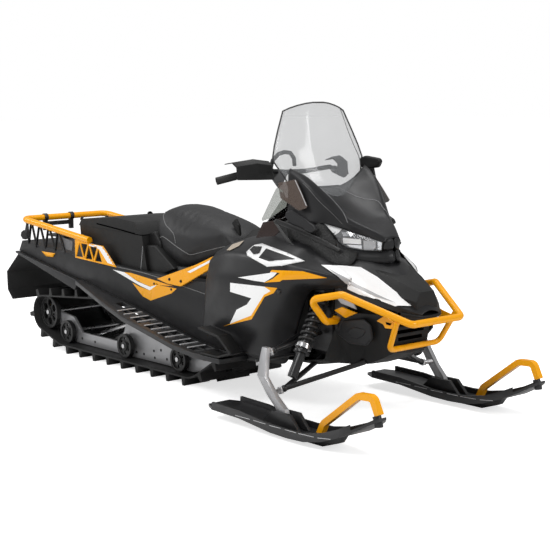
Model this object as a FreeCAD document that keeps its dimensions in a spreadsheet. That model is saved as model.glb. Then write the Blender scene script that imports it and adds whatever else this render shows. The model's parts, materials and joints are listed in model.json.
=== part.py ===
import FreeCAD, Part
import math
import os
import Sketcher

# A utility snowmobile with a wide track, two skis, a seat and a cargo rack.
# Frame: +X forward, +Y to the rider's left, +Z up, millimetres.
# The origin is on the ground, below the middle of the whole length.

Vector = FreeCAD.Vector
UP = Vector(0, 0, 1)
LEFT = Vector(0, 1, 0)

os.makedirs("parts", exist_ok=True)
document = FreeCAD.newDocument("Snowmobile")
sheet = document.addObject("Spreadsheet::Sheet", "Sizes")

SIZES = {
    # Whole machine
    "overall_length": 3191,
    "ski_tip_reach": 553,
    "ski_stance": 967,
    "running_gap": 0.3,
    "plate_clearance": 6,
    # Track and its wheels
    "track_width": 500,
    "track_pitch": 64.3,
    "belt_thickness": 8,
    "lug_height": 38,
    "lug_base": 30,
    "lug_tip": 16,
    "centre_lug_width": 190,
    "drive_radius": 82,
    "drive_back": 610,
    "drive_height": 350,
    "idler_radius": 90,
    "idler_back": 2285,
    "idler_height": 195,
    "bogie_radius": 62,
    "rear_bogie_back": 2105,
    "middle_bogie_back": 1558,
    "front_bogie_back": 1100,
    "nose_curve_radius": 150,
    "nose_curve_back": 990,
    "wheel_width": 26,
    "wheel_hub_radius": 24,
    "axle_radius": 11,
    # Slide rails
    "rail_offset": 165,
    "rail_thickness": 14,
    "rail_bottom": 52,
    "rail_top": 112,
    # Tunnel and running boards
    "tunnel_width": 536,
    "tunnel_wall": 4,
    "tunnel_rear_back": 2452,
    "tunnel_rear_height": 583,
    "tunnel_top_height": 522,
    "board_outer": 430,
    "board_depth": 22,
    "flap_thickness": 6,
    # Rack and cargo box
    "rack_tube_radius": 17,
    "rack_offset": 272,
    "rack_rear_back": 2428,
    "rack_rear_height": 705,
    "rack_front_back": 1763,
    "rack_front_height": 640,
    "rack_plate": 6,
    "box_half_width": 240,
    "box_wall": 5,
    # Steering and skis
    "kingpin_caster": 21.3,
    "steering_tilt": 30,
    "handlebar_radius": 11,
    "post_radius": 15,
    "grip_radius": 17,
    "steering_arm": 90,
    "tie_rod_radius": 9,
    "ski_bolt_height": 78,
    "ski_bolt_radius": 8,
    "ski_width": 170,
    "ski_thickness": 12,
    "ski_tail_reach": 436,
    "keel_height": 18,
    "keel_width": 34,
    "loop_width": 28,
    # Body panels
    "panel_wall": 6,
    "windshield_wall": 4,
    "bumper_radius": 15,
    # Suspension
    "arm_tube_radius": 11,
    "arm_inner_offset": 130,
    "ball_joint_offset": 435,
    "shock_radius": 21,
    "spring_radius": 30,
    "spring_wire": 5,
    "stud_radius": 11,
}
for row, (alias, value) in enumerate(SIZES.items(), start=1):
    sheet.set("A%d" % row, alias)
    sheet.set("B%d" % row, str(value))
    sheet.setAlias("B%d" % row, alias)
document.recompute()


class Size(float):
    """A number that also keeps the formula by which the document works it out."""

    def __new__(cls, value, text):
        size = float.__new__(cls, value)
        size.text = text
        return size

    def __add__(self, other):
        return Size(float(self) + float(other), "(%s + %s)" % (self.text, text_of(other)))

    def __radd__(self, other):
        return Size(float(other) + float(self), "(%s + %s)" % (text_of(other), self.text))

    def __sub__(self, other):
        return Size(float(self) - float(other), "(%s - %s)" % (self.text, text_of(other)))

    def __rsub__(self, other):
        return Size(float(other) - float(self), "(%s - %s)" % (text_of(other), self.text))

    def __mul__(self, other):
        return Size(float(self) * float(other), "(%s * %s)" % (self.text, text_of(other)))

    def __rmul__(self, other):
        return Size(float(other) * float(self), "(%s * %s)" % (text_of(other), self.text))

    def __truediv__(self, other):
        return Size(float(self) / float(other), "(%s / %s)" % (self.text, text_of(other)))

    def __neg__(self):
        return Size(-float(self), "(-1 * %s)" % self.text)


def text_of(number):
    """The formula of a Size, or a plain number as text."""
    return number.text if isinstance(number, Size) else repr(float(number))


def size(alias):
    return Size(sheet.get(alias), "Sizes." + alias)


nodes = []
ski_bolt_x = size("overall_length") / 2 - size("ski_tip_reach")


def fore(distance):
    """A place along X, measured forward from the ski bolts."""
    return ski_bolt_x + distance


def point(x, y, z):
    """A point whose X is measured forward from the ski bolts."""
    return Vector(float(fore(x)), float(y), float(z))


def bind(item, name, value):
    """Tie a property or constraint to the sheet where its value has a formula."""
    if isinstance(value, Size):
        item.setExpression(name, value.text)


def origin_plane(body, role):
    for feature in body.Origin.OriginFeatures:
        if feature.Role == role:
            return feature
    raise ValueError(role)


def new_body(label):
    body = document.addObject("PartDesign::Body", label)
    body.Label = label
    nodes.append(body)
    return body


def new_sketch(body, role, offset=0.0):
    sketch = body.newObject("Sketcher::SketchObject", body.Name + "_sketch")
    sketch.AttachmentSupport = [(origin_plane(body, role), "")]
    sketch.MapMode = "FlatFace"
    sketch.AttachmentOffset = FreeCAD.Placement(Vector(0, 0, float(offset)), FreeCAD.Rotation())
    bind(sketch, "AttachmentOffset.Base.z", offset)
    return sketch


def draw_outline(sketch, corners):
    """A closed outline of straight edges, each corner held by its two distances."""
    first = sketch.GeometryCount
    count = len(corners)
    places = [Vector(float(u), float(v), 0) for u, v in corners]
    edges = [Part.LineSegment(places[i], places[(i + 1) % count]) for i in range(count)]
    sketch.addGeometry(edges, False)
    for i in range(count):
        follower = first + (i + 1) % count
        sketch.addConstraint(Sketcher.Constraint("Coincident", first + i, 2, follower, 1))
    for i, (u, v) in enumerate(corners):
        for kind, value in (("DistanceX", u), ("DistanceY", v)):
            held = Sketcher.Constraint(kind, -1, 1, first + i, 1, float(value))
            index = sketch.addConstraint(held)
            bind(sketch, "Constraints[%d]" % index, value)


def draw_circle(sketch, u, v, radius):
    circle = Part.Circle(Vector(float(u), float(v), 0), UP, float(radius))
    index = sketch.addGeometry(circle, False)
    for kind, value in (("DistanceX", u), ("DistanceY", v)):
        held = sketch.addConstraint(Sketcher.Constraint(kind, -1, 1, index, 3, float(value)))
        bind(sketch, "Constraints[%d]" % held, value)
    held = sketch.addConstraint(Sketcher.Constraint("Radius", index, float(radius)))
    bind(sketch, "Constraints[%d]" % held, radius)


def add_pad(body, sketch, length, symmetric=False):
    pad = body.newObject("PartDesign::Pad", body.Name + "_pad")
    pad.Profile = sketch
    pad.Length = float(length)
    bind(pad, "Length", length)
    if symmetric:
        pad.SideType = "Symmetric"
    body.Tip = pad
    return pad


def add_pocket(body, sketch, length):
    """Cut the outline to both sides of its plane, over the given whole length."""
    pocket = body.newObject("PartDesign::Pocket", body.Name + "_pocket")
    pocket.Profile = sketch
    pocket.Length = float(length)
    bind(pocket, "Length", length)
    pocket.SideType = "Symmetric"
    body.Tip = pocket
    return pocket


def add_mirror(body, features):
    """Repeat features on the other side of the machine."""
    mirror = body.newObject("PartDesign::Mirrored", body.Name + "_mirror")
    mirror.Originals = features
    mirror.MirrorPlane = (origin_plane(body, "XZ_Plane"), [""])
    body.Tip = mirror
    return mirror


def side_plate(label, outline, inner, thickness, windows=(), both=True, holes=()):
    """A plate standing along the machine, cut from its side view, on one or both sides."""
    body = new_body(label)
    outer_face = -(inner + thickness)
    sketch = new_sketch(body, "XZ_Plane", outer_face)
    draw_outline(sketch, outline)
    features = [add_pad(body, sketch, thickness)]
    if windows or holes:
        cuts = new_sketch(body, "XZ_Plane", outer_face)
        for window in windows:
            draw_outline(cuts, window)
        for u, v, radius in holes:
            draw_circle(cuts, u, v, radius)
        features.append(add_pocket(body, cuts, thickness * 3))
    if both:
        add_mirror(body, features)
    return body


def cross_piece(label, outline, width):
    """A piece with one side view all the way across the machine."""
    body = new_body(label)
    sketch = new_sketch(body, "XZ_Plane")
    draw_outline(sketch, outline)
    add_pad(body, sketch, width, symmetric=True)
    return body


def section_loft(label, stations, ruled=True):
    """A body lofted through outlines in planes across the machine, at growing X."""
    body = new_body(label)
    sketches = []
    for along, outline in stations:
        sketch = new_sketch(body, "YZ_Plane", along)
        draw_outline(sketch, outline)
        sketches.append(sketch)
    loft = body.newObject("PartDesign::AdditiveLoft", body.Name + "_loft")
    loft.Profile = sketches[0]
    loft.Sections = sketches[1:]
    loft.Ruled = ruled
    body.Tip = loft
    return body


def add_feature(label, shape, place=Vector(0, 0, 0)):
    """A sub-part whose shape is made with Part's own functions, then put in its place."""
    feature = document.addObject("Part::Feature", label)
    feature.Label = label
    feature.Shape = shape
    feature.Placement = FreeCAD.Placement(place, FreeCAD.Rotation()).multiply(shape.Placement)
    nodes.append(feature)
    return feature


def mirrored(shape):
    """The same shape on the other side of the machine."""
    return shape.mirror(Vector(0, 0, 0), LEFT)


def both_sides(shape):
    return Part.makeCompound([shape, mirrored(shape)])


def path_wire(places, bend):
    """Straight runs joined by tangent arcs of one bend radius."""
    edges = []
    start = places[0]
    for before, corner, after in zip(places, places[1:], places[2:]):
        arriving = (corner - before).normalize()
        leaving = (after - corner).normalize()
        turn = arriving.getAngle(leaving)
        reach = float(bend) * math.tan(turn / 2)
        entry = corner - arriving * reach
        departure = corner + leaving * reach
        towards_centre = (leaving - arriving).normalize()
        centre = corner + towards_centre * (float(bend) / math.cos(turn / 2))
        middle = centre - towards_centre * float(bend)
        edges.append(Part.LineSegment(start, entry).toShape())
        edges.append(Part.Arc(entry, middle, departure).toShape())
        start = departure
    edges.append(Part.LineSegment(start, places[-1]).toShape())
    return Part.Wire(edges)


def tube(places, radius, bend=30.0):
    """A round bar along straight runs and arcs."""
    path = path_wire(places, bend)
    direction = places[1] - places[0]
    ring = Part.Wire([Part.makeCircle(float(radius), places[0], direction)])
    return path.makePipeShell([ring], True, False)


def strap(places, width, height, bend):
    """A flat bar, wide across the machine, along a path in a plane of constant Y."""
    path = path_wire(places, bend)
    direction = (places[1] - places[0]).normalize()
    side = LEFT * (float(width) / 2)
    rise = direction.cross(LEFT).normalize() * (float(height) / 2)
    start = places[0]
    corners = [start + side + rise, start - side + rise, start - side - rise, start + side - rise]
    outline = Part.makePolygon(corners + corners[:1])
    return path.makePipeShell([outline], True, True)


def rod(start, end, radius):
    """A straight round bar."""
    return Part.makeCylinder(float(radius), (end - start).Length, start, end - start)


def cross_rod(x, z, radius, half):
    """A round bar across the machine."""
    return rod(point(x, -half, z), point(x, half, z), radius)


def block(x0, x1, y0, y1, z0, z1):
    """A box between two corners, X measured from the ski bolts."""
    return Part.makeBox(float(x1 - x0), float(y1 - y0), float(z1 - z0), point(x0, y0, z0))


def loft(outlines, ruled=True):
    wires = [Part.makePolygon(list(outline) + [outline[0]]) for outline in outlines]
    solid = Part.makeLoft(wires, True, ruled)
    if solid.Volume < 0:
        solid.reverse()
    return solid


def offset_inward(line, wall):
    """An open outline moved to its right-hand side by a wall's thickness."""
    moved = []
    count = len(line)
    for i in range(count):
        normals = []
        for a, b in ((i - 1, i), (i, i + 1)):
            if a < 0 or b >= count:
                continue
            du = line[b][0] - line[a][0]
            dv = line[b][1] - line[a][1]
            length = math.hypot(du, dv)
            normals.append((dv / length, -du / length))
        nu = sum(n[0] for n in normals) / len(normals)
        nv = sum(n[1] for n in normals) / len(normals)
        scale = float(wall) / (nu * nu + nv * nv)
        moved.append((line[i][0] + nu * scale, line[i][1] + nv * scale))
    return moved


def shell_loft(stations, wall, ruled=True):
    """A panel of one wall, lofted through open outlines (Y, Z) at places along X."""
    outlines = []
    for x, line in stations:
        inner = offset_inward(line, wall)
        around = list(line) + inner[::-1]
        outlines.append([point(x, y, z) for y, z in around])
    return loft(outlines, ruled)


# Tunnel: an inverted channel over the track, open at the bottom and the rear.
tunnel_wall = size("tunnel_wall")
tunnel_half = size("tunnel_width") / 2
tunnel_rear = fore(-size("tunnel_rear_back"))
tunnel_top = size("tunnel_top_height")
rear_height = size("tunnel_rear_height")
bend_back = 1700
bend_height = tunnel_top + 18
deck_back = 1925
deck_height = tunnel_top + 29.4
lip_back = 2392
lip_height = rear_height - 2.5
tunnel_bends = [
    (bend_back, bend_height),
    (deck_back, deck_height),
    (lip_back, lip_height),
    (size("tunnel_rear_back"), rear_height),
]


def tunnel_line(x):
    """Height of the tunnel's top edge at a place behind the ski bolts: the seat's slope, the deck and its rear lip."""
    for (front, front_height), (back, back_height) in zip(tunnel_bends, tunnel_bends[1:]):
        if -x <= back or back == size("tunnel_rear_back"):
            return front_height + (back_height - front_height) * (-x - front) / (back - front)


def make_tunnel():
    body = new_body("tunnel")
    sketch = new_sketch(body, "XZ_Plane")
    outline = [
        (tunnel_rear, rear_height),
        (fore(-lip_back), lip_height),
        (fore(-deck_back), deck_height),
        (fore(-bend_back), bend_height),
        (fore(-1300), tunnel_top),
        (fore(-560), tunnel_top),
        (fore(-430), tunnel_top - 120),
        (fore(-440), 205),
        (fore(-700), 205),
        (fore(-855), 234),
        (tunnel_rear - 37, rear_height - 59),
    ]
    draw_outline(sketch, outline)
    add_pad(body, sketch, tunnel_half * 2, symmetric=True)
    inside = [
        (tunnel_rear - 100, rear_height + 6 - tunnel_wall),
        (fore(-bend_back), bend_height - tunnel_wall),
        (fore(-1300), tunnel_top - tunnel_wall),
        (fore(-560) - tunnel_wall / 2, tunnel_top - tunnel_wall),
        (fore(-430) - tunnel_wall, tunnel_top - 120),
        (fore(-440) - tunnel_wall, 150),
        (tunnel_rear - 100, 150),
    ]
    cut = new_sketch(body, "XZ_Plane")
    draw_outline(cut, inside)
    add_pocket(body, cut, tunnel_half * 2 - tunnel_wall * 2)


make_tunnel()

side_plate(
    "side_beams",
    [
        (tunnel_rear - 37, rear_height - 59),
        (fore(-1850), 421),
        (fore(-1886), 370),
        (tunnel_rear - 37, rear_height - 69),
    ],
    tunnel_half,
    24,
)


# Running boards: ribbed strips along the tunnel that narrow to the rear, open between the ribs.
def make_running_boards():
    body = new_body("running_boards")
    outer = size("board_outer")
    depth = size("board_depth")
    board_width = outer - tunnel_half
    sketch = new_sketch(body, "XZ_Plane", -outer)
    top = [(-1846, 428), (-1299, 333), (-855, 246), (-700, 230), (-500, 228)]
    outline = [(fore(x), z) for x, z in top]
    outline += [(fore(x), z - depth) for x, z in reversed(top)]
    draw_outline(sketch, outline)
    pad = add_pad(body, sketch, board_width)
    corner = new_sketch(body, "XY_Plane", 300)
    draw_outline(
        corner,
        [
            (fore(-1900), tunnel_half + 32),
            (fore(-1480), outer - 40),
            (fore(-1250), outer + 1),
            (fore(-1250), outer + 60),
            (fore(-1900), outer + 60),
        ],
    )
    features = [pad, add_pocket(body, corner, 500)]
    slots = new_sketch(body, "XY_Plane", 300)
    for step in range(8):
        start = -1440 + step * 110
        width = min(outer - 34, outer - 40 - (-1250 - start) * 0.17 if start < -1250 else outer - 34)
        rows = ((tunnel_half + 24, tunnel_half + 70), (tunnel_half + 86, width))
        for low, high in rows:
            draw_outline(
                slots,
                [
                    (fore(start), low),
                    (fore(start + 74), low),
                    (fore(start + 74), high),
                    (fore(start), high),
                ],
            )
    features.append(add_pocket(body, slots, 500))
    add_mirror(body, features)


make_running_boards()

side_plate(
    "toe_holds",
    [
        (fore(-640), 229.7),
        (fore(-520), 228.6),
        (fore(-425), 262),
        (fore(-515), 332),
        (fore(-660), 352),
        (fore(-660), 342),
        (fore(-521), 322),
        (fore(-445), 264),
        (fore(-522), 240),
        (fore(-640), 240),
    ],
    size("board_outer") - 78,
    73,
)

# Snow flap: a bent sheet hung from the rear end of the tunnel.
flap_wall = size("flap_thickness")
flap_outer = [
    (tunnel_rear - 30, rear_height - 61),
    (fore(-2638), 392),
    (fore(-2634), 288),
    (fore(-2582), 237),
]
flap_inner = [
    (fore(-2582) + flap_wall, 241),
    (fore(-2634) + flap_wall, 291),
    (fore(-2638) + flap_wall, 390),
    (tunnel_rear - 26, rear_height - 66),
]
cross_piece("snow_flap", flap_outer + flap_inner, tunnel_half * 2 - 4)

# Rear rack: a bent tube above the tunnel, carried by braced plates at its sides.
rack_radius = size("rack_tube_radius")
rack_side = size("rack_offset")
rack_back = size("rack_rear_back")
rack_rear_z = size("rack_rear_height")
rack_front = size("rack_front_back")
rack_front_z = size("rack_front_height")


def make_rear_rack():
    corners = [
        point(-rack_front, -rack_side, rack_front_z),
        point(-rack_back, -rack_side, rack_rear_z),
        point(-rack_back, rack_side, rack_rear_z),
        point(-rack_front, rack_side, rack_front_z),
    ]
    add_feature("rear_rack", tube(corners, rack_radius, 45))


make_rear_rack()


def make_rack_posts():
    """Two black posts clamped round the rack's rear tube, with the rear lamp's bar between them."""
    axle_x, axle_z = -rack_back, rack_rear_z
    bar = block(axle_x - 9, axle_x + 9, post_right, post_left, axle_z - 46, axle_z - 24)
    parts = [bar]
    for y in (post_right, post_left):
        ring = Part.makeCylinder(rack_radius + 5, post_width, point(axle_x, y - post_width / 2, axle_z), LEFT)
        parts.append(ring)
        parts.append(block(axle_x - 10, axle_x + 10, y - post_width / 2, y + post_width / 2, axle_z - 72, axle_z))
    tube_space = cross_rod(axle_x, axle_z, rack_radius + size("running_gap"), 240)
    add_feature("rack_posts", parts[0].fuse(parts[1:]).cut(tube_space).removeSplitter())


post_right, post_left = -132, 36
post_width = 22
make_rack_posts()


def rack_height(x):
    """Height of the rack tube's underside at a place behind the ski bolts."""
    share = (x + rack_front) / (rack_front - rack_back)
    return rack_front_z + (rack_rear_z - rack_front_z) * share - rack_radius - size("running_gap")


def triangle_windows(start, end, low, high, count, web):
    """Triangles that point up and down in turn, so that a zigzag of webs is left."""
    pitch = (end - start) / count
    windows = []
    for i in range(count):
        left = start + pitch * i
        right = left + pitch
        middle = (left + right) / 2
        bottom = low(middle) + web
        top = high(middle) - web
        if i % 2:
            windows.append([(fore(left - pitch * 0.25), top), (fore(middle), bottom), (fore(right + pitch * 0.25), top)])
        else:
            windows.append([(fore(left - pitch * 0.25), bottom), (fore(right + pitch * 0.25), bottom), (fore(middle), top)])
    return windows


plate_inner = tunnel_half + size("running_gap")
truss_rear, truss_front = -2415, -2030
side_plate(
    "rack_truss",
    [
        (fore(truss_rear), rack_height(truss_rear)),
        (fore(truss_rear), tunnel_line(truss_rear) - 15),
        (fore(truss_front + 30), tunnel_line(truss_front) - 15),
        (fore(truss_front), tunnel_line(truss_front) + 12),
        (fore(truss_front - 45), rack_height(truss_front - 45)),
    ],
    plate_inner,
    size("rack_plate"),
    windows=triangle_windows(truss_rear + 30, truss_front - 30, lambda x: tunnel_line(x), rack_height, 5, 9),
)
trim_rear = -1900
side_plate(
    "rack_trim",
    [
        (fore(trim_rear), rack_height(trim_rear)),
        (fore(trim_rear), tunnel_line(trim_rear) - 12),
        (fore(-1522), tunnel_line(-1600) - 12),
        (fore(-1640), rack_height(-1763) - 2),
        (fore(-1763), rack_height(-1763)),
    ],
    plate_inner,
    size("rack_plate"),
    windows=triangle_windows(trim_rear + 20, -1660, lambda x: tunnel_line(x) - 12, rack_height, 5, 10),
)

# Cargo box: a hollow box on the tunnel behind the seat, closed by a crowned lid.
box_half = size("box_half_width")
box_wall = size("box_wall")
seat_gap = size("running_gap")


def make_cargo_box():
    body = new_body("cargo_box")
    sketch = new_sketch(body, "XZ_Plane")
    draw_outline(
        sketch,
        [
            (fore(-1300), tunnel_top + seat_gap),
            (fore(-1345), 699),
            (fore(-1900), 706),
            (fore(-1880), tunnel_line(-1880) + seat_gap),
            (fore(-1700), tunnel_line(-1700) + seat_gap),
        ],
    )
    add_pad(body, sketch, box_half * 2, symmetric=True)
    inside = new_sketch(body, "XZ_Plane")
    draw_outline(
        inside,
        [
            (fore(-1304) - box_wall, tunnel_top + 2 * box_wall),
            (fore(-1356) - box_wall, 740),
            (fore(-1904) + box_wall, 740),
            (fore(-1878) + box_wall, tunnel_line(-1878) + 2 * box_wall),
            (fore(-1700), tunnel_line(-1700) + 2 * box_wall),
        ],
    )
    add_pocket(body, inside, box_half * 2 - box_wall * 2)


make_cargo_box()

# Hinge line of the lid, along the box's rear edge, with knuckles on the box and on the lid by turns.
hinge_x, hinge_z = -1912, 708
knuckle_radius = 6


def hinge_knuckle(start, end, leaf_low, leaf_high, leaf_front):
    barrel = Part.makeCylinder(knuckle_radius, end - start, point(hinge_x, start, hinge_z), LEFT)
    leaf = block(hinge_x, leaf_front, start, end, leaf_low, leaf_high)
    return both_sides(barrel.fuse(leaf))


def make_cargo_lid():
    outline = [
        point(-1340, 0, 699 + size("running_gap")),
        point(-1400, 0, 758),
        point(-1560, 0, 768),
        point(-1880, 0, 742),
        point(-1906, 0, 706 + size("running_gap")),
    ]
    width = box_half * 2 + 6
    lid = Part.Face(Part.makePolygon(outline + outline[:1])).extrude(LEFT * float(width))
    lid = lid.translated(LEFT * float(-width / 2))
    knuckles = hinge_knuckle(150, 200, hinge_z - 1, hinge_z + 5, -1896)
    fixed_space = rod(point(hinge_x, -140, hinge_z), point(hinge_x, 140, hinge_z), knuckle_radius + size("running_gap"))
    return lid.cut(fixed_space).fuse(knuckles)


add_feature("cargo_lid", make_cargo_lid())
box_knuckle = rod(point(hinge_x, -140, hinge_z), point(hinge_x, 140, hinge_z), knuckle_radius)
box_leaf = block(-1918, -1896, -140, 140, 690, hinge_z - 2)
document.recompute()
box_body = document.getObject("cargo_box")
nodes.remove(box_body)
box_with_hinge = box_body.Shape.fuse([box_knuckle, box_leaf])
box_body.Label = "box_shell"
add_feature("cargo_box", box_with_hinge)

# Seat: a saddle with a raised rear bolster, closed and soft.
seat_floor = tunnel_top + 40


def seat_station(x, top, shoulder, half_top, half_low):
    bottom = seat_floor + size("running_gap")
    right = [(-half_low, bottom), (-half_low - 6, bottom + 70), (-half_top, shoulder), (-half_top * 0.5, top)]
    left = [(-y, z) for y, z in reversed(right)]
    return (fore(x), right + left)


section_loft(
    "seat",
    [
        seat_station(-1297, 786, 745, 140, 168),
        seat_station(-1268, 828, 798, 150, 182),
        seat_station(-1200, 826, 790, 150, 188),
        seat_station(-1120, 798, 760, 160, 185),
        seat_station(-950, 784, 745, 150, 165),
        seat_station(-800, 745, 705, 120, 140),
        seat_station(-745, 715, 690, 95, 115),
    ],
)



def base_station(x, half_low, half_top):
    low = tunnel_top + size("running_gap")
    high = seat_floor
    right = [(-half_low, low), (-half_low, low + 16), (-half_top, high)]
    left = [(-y, z) for y, z in reversed(right)]
    return (fore(x), right + left)


section_loft(
    "seat_base",
    [
        base_station(-1290, 212, 200),
        base_station(-1150, 212, 196),
        base_station(-950, 196, 180),
        base_station(-745, 176, 150),
    ],
)

side_plate(
    "frame_braces",
    [
        (fore(-1166), 503),
        (fore(-1080), 488),
        (fore(-974), 486),
        (fore(-757), 588),
        (fore(-726), 618),
        (fore(-726), 652),
        (fore(-860), 600),
    ],
    tunnel_half + size("running_gap"),
    14,
)


# Fuel tank and console, from the seat to the steering column.
def tank_station(x, half_side, side_height, half_top, top):
    bottom = tunnel_top + size("running_gap")
    right = [(-half_side, bottom), (-half_side, side_height), (-half_top, top)]
    left = [(-y, z) for y, z in reversed(right)]
    return (fore(x), right + left)


section_loft(
    "fuel_tank",
    [
        tank_station(-738, 190, 620, 110, 708),
        tank_station(-640, 200, 640, 120, 768),
        tank_station(-560, 190, 650, 110, 790),
    ],
)
document.recompute()
cap = Part.makeCylinder(34, 42, point(-604, 0, 768), UP)
add_feature("fuel_cap", cap.cut(document.getObject("fuel_tank").Shape))

# Engine: the heavy mass inside the panels.
add_feature("engine", block(-400, 20, -150, 150, 320, 640))

# Body panels, as lofted sheets: each section runs from the top edge outward and down.
panel_wall = size("panel_wall")

HOOD_SECTIONS = [
    (60, [(252, 699), (222, 712), (170, 722), (100, 734), (0, 742)]),
    (155, [(241, 632), (208, 672), (154, 698), (84, 724), (0, 739)]),
    (178, [(238, 616), (205, 662), (150, 692), (80, 722), (0, 738)]),
    (264, [(190, 590), (165, 618), (120, 648), (60, 690), (0, 712)]),
    (330, [(140, 566), (120, 576), (90, 598), (50, 622), (0, 636)]),
    (392, [(84, 548), (70, 554), (50, 562), (28, 570), (0, 574)]),
]


def beyond_hood(hood_line, width):
    """The two points that carry the hood's line on past its edge, one gap away."""
    (y0, z0), (y1, z1) = hood_line[0], hood_line[1]
    length = math.hypot(y0 - y1, z0 - z1)
    along = ((y0 - y1) / length, (z0 - z1) / length)
    gap_now = float(size("running_gap"))
    return [(y0 + along[0] * reach, z0 + along[1] * reach) for reach in (gap_now, gap_now + width)]


# Side panels: each section runs from its top edge outward and down.
SIDE_SECTIONS = [
    (-720, [(212, 690), (262, 668), (302, 633), (325, 540), (335, 435), (345, 322)]),
    (-560, [(205, 745), (265, 722), (332, 692), (370, 588), (372, 418), (315, 264)]),
    (-350, [(195, 785), (262, 755), (345, 694), (372, 580), (370, 400), (270, 212)]),
    (-152, [(195, 765), (262, 735), (345, 676), (360, 600), (330, 430), (240, 228)]),
    (-136, [(198, 763), (262, 733), (345, 675), (358, 640), (345, 590), (240, 566)]),
    (20, [(250, 722), (266, 714), (330, 665), (325, 640), (300, 590), (245, 570)]),
    (60, beyond_hood(HOOD_SECTIONS[0][1], 13) + [(322, 656), (318, 634), (297, 596), (250, 580)]),
    (155, beyond_hood(HOOD_SECTIONS[1][1], 5) + [(300, 632), (296, 625), (284, 612), (254, 604)]),
]


def side_panel():
    return shell_loft([(x, line[::-1]) for x, line in SIDE_SECTIONS], panel_wall)


# Front suspension points on the left: ball joints, inner pivots and the shock's ends.
caster = math.radians(size("kingpin_caster"))
kingpin = Vector(-math.sin(caster), 0, math.cos(caster))
arm_radius = size("arm_tube_radius")
inner_y = size("arm_inner_offset")
ball_y = size("ball_joint_offset")
lower_ball = point(-86, ball_y, 162)
upper_ball = lower_ball + kingpin * 165
lower_pivots = [point(103, inner_y, 269), point(-161, inner_y, 251)]
upper_pivots = [point(-112, inner_y + 50, 372), point(-200, inner_y + 50, 372)]
shock_low = point(-70, 385, 214)
shock_high = point(-87, 189, 542)
stud_radius = size("stud_radius")
steering_eye = Vector(fore(-217), ball_y, 250)
bar_place = steering_eye + kingpin * (12 + float(size("running_gap")))

# Space that the panels leave around the arms and the steering bar.
clearance = size("plate_clearance")
arm_space = [rod(pivot * 1.2 - lower_ball * 0.2, lower_ball, arm_radius + clearance) for pivot in lower_pivots]
arm_space += [rod(pivot * 1.2 - upper_ball * 0.2, upper_ball, arm_radius + clearance) for pivot in upper_pivots]
arm_space += [rod(Vector(bar_place.x, 0, bar_place.z), bar_place, size("tie_rod_radius") + clearance)]
arm_space += [rod(shock_low, shock_high, size("spring_radius") + size("spring_wire") + 2)]
arm_space = both_sides(arm_space[0].fuse(arm_space[1:]))

left_panel = side_panel().cut(arm_space)
add_feature("side_panel_left", left_panel)
add_feature("side_panel_right", mirrored(left_panel))

def make_hood():
    stations = []
    for x, half in HOOD_SECTIONS:
        right = [(-y, z) for y, z in half]
        stations.append((x, right + half[-2::-1]))
    add_feature("hood", shell_loft(stations, panel_wall))


make_hood()

COWL_SECTIONS = [
    (-420, [(0, 205), (120, 205), (215, 225)]),
    (-200, [(0, 208), (120, 210), (215, 235)]),
    (-60, [(0, 237), (125, 239), (212, 262)]),
    (-8, [(0, 243), (140, 247), (200, 400)]),
    (14, [(0, 245), (140, 250), (196, 416)]),
    (36, [(0, 245), (138, 250), (190, 468)]),
    (115, [(0, 255), (134, 261), (176, 482)]),
    (195, [(0, 285), (118, 296), (156, 484)]),
    (238, [(0, 312), (98, 322), (132, 478)]),
]
grille_low = 338
grille_pitch = 30
grille_rows = 4


def make_lower_cowl():
    stations = []
    for x, half in COWL_SECTIONS:
        right = [(-y, z) for y, z in reversed(half)]
        stations.append((x, (right + half[1:])[::-1]))
    front_x, front_line = stations[-1]
    corners = [point(front_x, y, z) for y, z in front_line]
    front = Part.Face(Part.makePolygon(corners + corners[:1])).extrude(Vector(-float(panel_wall), 0, 0))
    for row in range(grille_rows):
        z = grille_low + grille_pitch * row
        reach = 62 + 10 * row
        slot = block(front_x - 20, front_x + 20, -reach, reach, z, z + grille_pitch - 14)
        front = front.cut(slot)
    add_feature("lower_cowl", shell_loft(stations, panel_wall).fuse(front).cut(arm_space))


make_lower_cowl()

# Inner nose: the cooler and its ducts behind the grille, one plain block ahead of the engine.
nose_floor = 502
section_loft(
    "nose_core",
    [
        (fore(20) + size("running_gap"), [(-140, 440), (-140, 600), (-110, 690), (110, 690), (140, 600), (140, 440)]),
        (fore(150), [(-130, 470), (-130, 590), (-100, 655), (100, 655), (130, 590), (130, 470)]),
        (fore(225), [(-108, nose_floor), (-108, 570), (-80, 625), (80, 625), (108, 570), (108, nose_floor)]),
        (fore(330), [(-62, nose_floor), (-62, 540), (-40, 580), (40, 580), (62, 540), (62, nose_floor)]),
    ],
)

# Front frame: a box between the lower arms with a tower on each side for the shock and the upper arm.
frame_half = 123
frame_top = 320
tower_inner = 151
tower_outer = 166
tower_top = 566
bumper_seat_x = -46
bumper_seat_y = 166
bumper_seat_z = 437


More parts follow.
